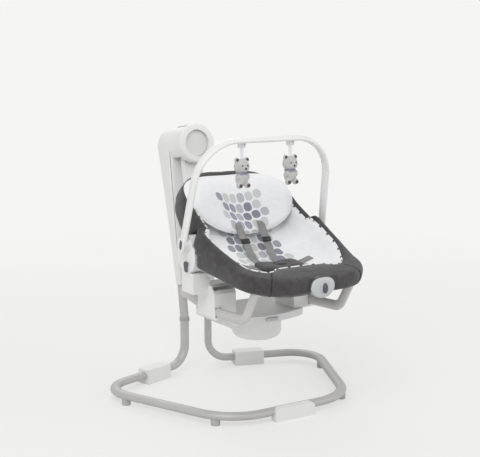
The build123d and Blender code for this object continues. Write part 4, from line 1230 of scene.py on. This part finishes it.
def dial_surface(top, foot):
    """The surface of a dial piece whose dome rises to top and whose back lies at foot."""

    def surface(x, y, share, face):
        depth = foot + (top - foot) * crown_at(share, DIAL_CROWN) if face else foot
        return Vector((x * MM, module_low.y - depth * MM, module_middle_z + y * MM))

    return surface


plate_surface = dial_surface(DIAL_TOP, DIAL_FOOT)
knob_surface = dial_surface(KNOB_TOP, KNOB_FOOT)
dial_plate = make_cushion(
    "dial_plate", *DIAL_HALF, DIAL_SQUARENESS, plate_surface, module_plastic, DIAL_GRID
)
dial_knob = make_cushion(
    "dial_knob", *KNOB_HALF, KNOB_SQUARENESS, knob_surface, slate_plastic, KNOB_GRID
)
for dial_piece in (dial_plate, dial_knob):
    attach(dial_piece, "vibration_dial")
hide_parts("vibration_dial")
print("knob half sizes", KNOB_HALF, "mm")

# %% [markdown]
# ## Levers and badges on the hubs
# Each hub has a dark grey push plate for the recline, and each foot of the toy bar ends in a disc with a
# dark oval inlay. They are thin plates with eased edges that ride on the button and on the bar.

# %% Hub plates
PLATE_HALF = (11.0, 15.0)
PLATE_SQUARENESS = 4.0
PLATE_SINK, PLATE_RISE = 0.0006, 0.002
PLATE_TAPER = 0.25
BADGE_HALF = (7.0, 14.5)
BADGE_SQUARENESS = 2.2
BADGE_SINK, BADGE_RISE = 0.0004, 0.0012
BAR_LEAN = math.radians(12.0)
THIN_CROWN = 8
THIN_GRID = (8, 48)


def side_plate(name, side, middle, half, squareness, low, high, taper, lean):
    """A thin plate facing sideways at a place, from low to high along x, widening upward by taper."""

    def surface(a, b, share, face):
        a = a * (1.0 + taper * b / half[1])
        y = a * math.cos(lean) - b * math.sin(lean)
        z = a * math.sin(lean) + b * math.cos(lean)
        x = low + (high - low) * crown_at(share, THIN_CROWN) if face else low
        return Vector((side * x, middle.y + y * MM, middle.z + z * MM))

    return make_cushion(name, *half, squareness, surface, slate_plastic, THIN_GRID)


caps_low, caps_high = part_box("bar_caps")
cap_middle = (caps_low + caps_high) / 2
for side_name, side in SIDES:
    button_low, button_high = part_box(f"recline_button_{side_name}")
    button_face = max(abs(button_low.x), abs(button_high.x))
    plate = side_plate(
        f"recline_plate_{side_name}", side, (button_low + button_high) / 2, PLATE_HALF, PLATE_SQUARENESS,
        button_face - PLATE_SINK, button_face + PLATE_RISE, PLATE_TAPER, 0.0,
    )
    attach(plate, f"recline_button_{side_name}")
    badge = side_plate(
        f"pivot_badge_{side_name}", side, cap_middle, BADGE_HALF, BADGE_SQUARENESS,
        caps_high.x - BADGE_SINK, caps_high.x + BADGE_RISE, 0.0, BAR_LEAN,
    )
    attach(badge, "toy_bar")
print("hub plates 2, pivot badges 2")

# %% [markdown]
# ## Hanging toys
# Two plush bears hang from the bar on white ribbons. A stuffed toy is a few balls grown together, so head
# and body are sets of balls, each fused by a voxel remesh and smoothed, like fabric pulled over stuffing.
# The eyes, nose, ears, soles and collar are small pieces set into them.

# %% Stuffing helper
TOY_VOXEL = 1.5
BALL_DETAIL = 3
RELAX_SHARE = 0.5
RELAX_ROUNDS = 6


def stuffed(name, balls, middle, finish):
    """Balls fused into one soft body round a middle point."""
    shape = bmesh.new()
    for place, radius, stretch in balls:
        matrix = Matrix.Translation(middle + Vector(place) * MM) @ Matrix.Diagonal((*stretch, 1.0))
        bmesh.ops.create_icosphere(shape, subdivisions=BALL_DETAIL, radius=radius * MM, matrix=matrix)
    mesh = bpy.data.meshes.new(name + "_balls")
    shape.to_mesh(mesh)
    shape.free()
    draft = bpy.data.objects.new(name + "_draft", mesh)
    scene.collection.objects.link(draft)
    remesh = draft.modifiers.new("fuse", "REMESH")
    remesh.mode = "VOXEL"
    remesh.voxel_size = TOY_VOXEL * MM
    relax = draft.modifiers.new("relax", "SMOOTH")
    relax.factor = RELAX_SHARE
    relax.iterations = RELAX_ROUNDS
    fused = bpy.data.meshes.new_from_object(draft.evaluated_get(bpy.context.evaluated_depsgraph_get()))
    bpy.data.objects.remove(draft)
    return place_mesh(name, fused, finish)


print("toy voxel", TOY_VOXEL, "mm")

# %% Bears
HEAD_ABOVE_FOOT = 70.0
HEAD_BALLS = (
    ((0, 0, 0), 23.0, (1.0, 0.86, 0.95)),
    ((-16.0, 0, 18.0), 8.0, (1.0, 0.6, 1.0)),
    ((16.0, 0, 18.0), 8.0, (1.0, 0.6, 1.0)),
    ((0, -15.0, -7.0), 10.0, (1.1, 0.8, 0.8)),
)
BODY_BALLS = (
    ((0, 0, -34.0), 20.0, (0.95, 0.85, 1.0)),
    ((-15.0, -8.0, -28.0), 7.0, (0.8, 0.9, 1.3)),
    ((15.0, -8.0, -28.0), 7.0, (0.8, 0.9, 1.3)),
    ((-12.5, -9.0, -51.5), 9.0, (1.0, 1.0, 1.0)),
    ((12.5, -9.0, -51.5), 9.0, (1.0, 1.0, 1.0)),
)

plush = cloth_finish("grey_plush", (0.62, 0.615, 0.61), 0.08, 0.0013, 0.9, 0.3)
toy_middle = {}
for side_name, _ in SIDES:
    body_name = f"toy_{side_name}"
    toy_low, toy_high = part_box(body_name)
    middle_x, middle_y = (toy_low.x + toy_high.x) / 2, (toy_low.y + toy_high.y) / 2
    middle = Vector((middle_x, middle_y, toy_low.z + HEAD_ABOVE_FOOT * MM))
    toy_middle[body_name] = middle
    head = stuffed(f"bear_head_{side_name}", HEAD_BALLS, middle, plush)
    body = stuffed(f"bear_body_{side_name}", BODY_BALLS, middle, plush)
    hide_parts(body_name)
    for stuffed_piece in (head, body):
        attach(stuffed_piece, body_name)
print("bears", len(toy_middle))

# %% Faces, soles and collars
SPOT_RISE = 1.8
SPOT_SINK = 2.5
SPOT_SQUARENESS = 2.0
SPOT_CROWN = 2
SPOT_GRID = (6, 24)
COLLAR_HALF = (15.5, 13.5)
COLLAR_DROP = 19.0
COLLAR_R = 2.2
COLLAR_STEPS = 40

dark_plush = cloth_finish("slate_plush", (0.10, 0.085, 0.09), 0.15, 0.0013, 0.9, 0.3)
collar_cloth = cloth_finish("lilac_collar", (0.30, 0.33, 0.46), 0.1, 0.001, 0.5, 0.1)
bead_black = hard_finish("bead_black", (0.015, 0.015, 0.016), 0.25)
DARK_SPOTS = (
    ("ear_left", (-16.0, -4.4, 18.4), (4.6, 4.6), dark_plush),
    ("ear_right", (16.0, -4.4, 18.4), (4.6, 4.6), dark_plush),
    ("sole_left", (-12.5, -17.4, -52.0), (5.4, 5.4), dark_plush),
    ("sole_right", (12.5, -17.4, -52.0), (5.4, 5.4), dark_plush),
    ("nose", (0.0, -23.0, -4.6), (3.6, 2.6), bead_black),
    ("eye_left", (-8.6, -18.3, 3.6), (2.0, 2.3), bead_black),
    ("eye_right", (8.6, -18.3, 3.6), (2.0, 2.3), bead_black),
)


def spot_surface(middle, place):
    """The surface of a small domed spot that faces the front of a toy."""

    def surface(x, y, share, face):
        depth = -SPOT_RISE * crown_at(share, SPOT_CROWN) if face else SPOT_SINK
        return middle + Vector((place[0] + x, place[1] + depth, place[2] + y)) * MM

    return surface


for side_name, _ in SIDES:
    body_name = f"toy_{side_name}"
    middle = toy_middle[body_name]
    for spot_name, place, half, finish in DARK_SPOTS:
        surface = spot_surface(middle, place)
        piece_name = f"bear_{spot_name}_{side_name}"
        spot = make_cushion(piece_name, *half, SPOT_SQUARENESS, surface, finish, SPOT_GRID)
        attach(spot, body_name)
    collar_line = []
    for step in range(COLLAR_STEPS):
        angle = 2 * math.pi * step / COLLAR_STEPS
        x, y = COLLAR_HALF[0] * math.cos(angle), COLLAR_HALF[1] * math.sin(angle)
        collar_line.append(middle + Vector((x, y, -COLLAR_DROP)) * MM)
    collar = make_tube(f"bear_collar_{side_name}", collar_line, COLLAR_R * MM, collar_cloth, closed=True)
    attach(collar, body_name)
print("spots on each bear", len(DARK_SPOTS))

# %% Ribbons and loops
BAR_BELOW_TOP = 0.0055
RIBBON_WIDE = 11.5
RIBBON_THICK = 2.0
RIBBON_ROWS = 12
RIBBON_FORWARD = 0.001
RIBBON_BELOW_BAR = 0.003
RIBBON_ABOVE_MIDDLE = 0.018
LOOP_HALF_WIDE = 0.0062
LOOP_INNER_R = 0.0030
LOOP_OUTER_R = 0.0052
LOOP_STEPS = 24
TOWARD_BACK = Vector((0, 1, 0))

loop_profile = [(-LOOP_HALF_WIDE, LOOP_INNER_R), (LOOP_HALF_WIDE, LOOP_INNER_R)]
loop_profile += [(LOOP_HALF_WIDE, LOOP_OUTER_R), (-LOOP_HALF_WIDE, LOOP_OUTER_R)]
loop_faces = loft_faces(LOOP_STEPS, len(loop_profile), close_rows=True, close_columns=True)
for side_name, _ in SIDES:
    body_name = f"toy_{side_name}"
    middle = toy_middle[body_name]
    bar_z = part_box(body_name)[1].z - BAR_BELOW_TOP
    top = Vector((middle.x, middle.y - RIBBON_FORWARD, bar_z - RIBBON_BELOW_BAR))
    foot = Vector((middle.x, middle.y - RIBBON_FORWARD, middle.z + RIBBON_ABOVE_MIDDLE))
    line = [top.lerp(foot, row / (RIBBON_ROWS - 1)) for row in range(RIBBON_ROWS)]
    normals = [TOWARD_BACK] * RIBBON_ROWS
    ribbon_name = f"toy_ribbon_{side_name}"
    hanger = make_ribbon(ribbon_name, line, normals, RIBBON_WIDE * MM, RIBBON_THICK * MM, white_cloth)
    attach(hanger, body_name)
    wrap_rows = []
    for step in range(LOOP_STEPS):
        angle = 2 * math.pi * step / LOOP_STEPS
        for x, radius in loop_profile:
            y, z = radius * math.cos(angle), radius * math.sin(angle)
            wrap_rows.append(Vector((middle.x + x, middle.y + y, bar_z + z)))
    wrap = make_piece(f"toy_loop_{side_name}", wrap_rows, loop_faces, white_cloth)
    tidy_mesh(wrap)
    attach(wrap, body_name)
print("ribbons 2, each", round((top - foot).length / MM), "mm long")
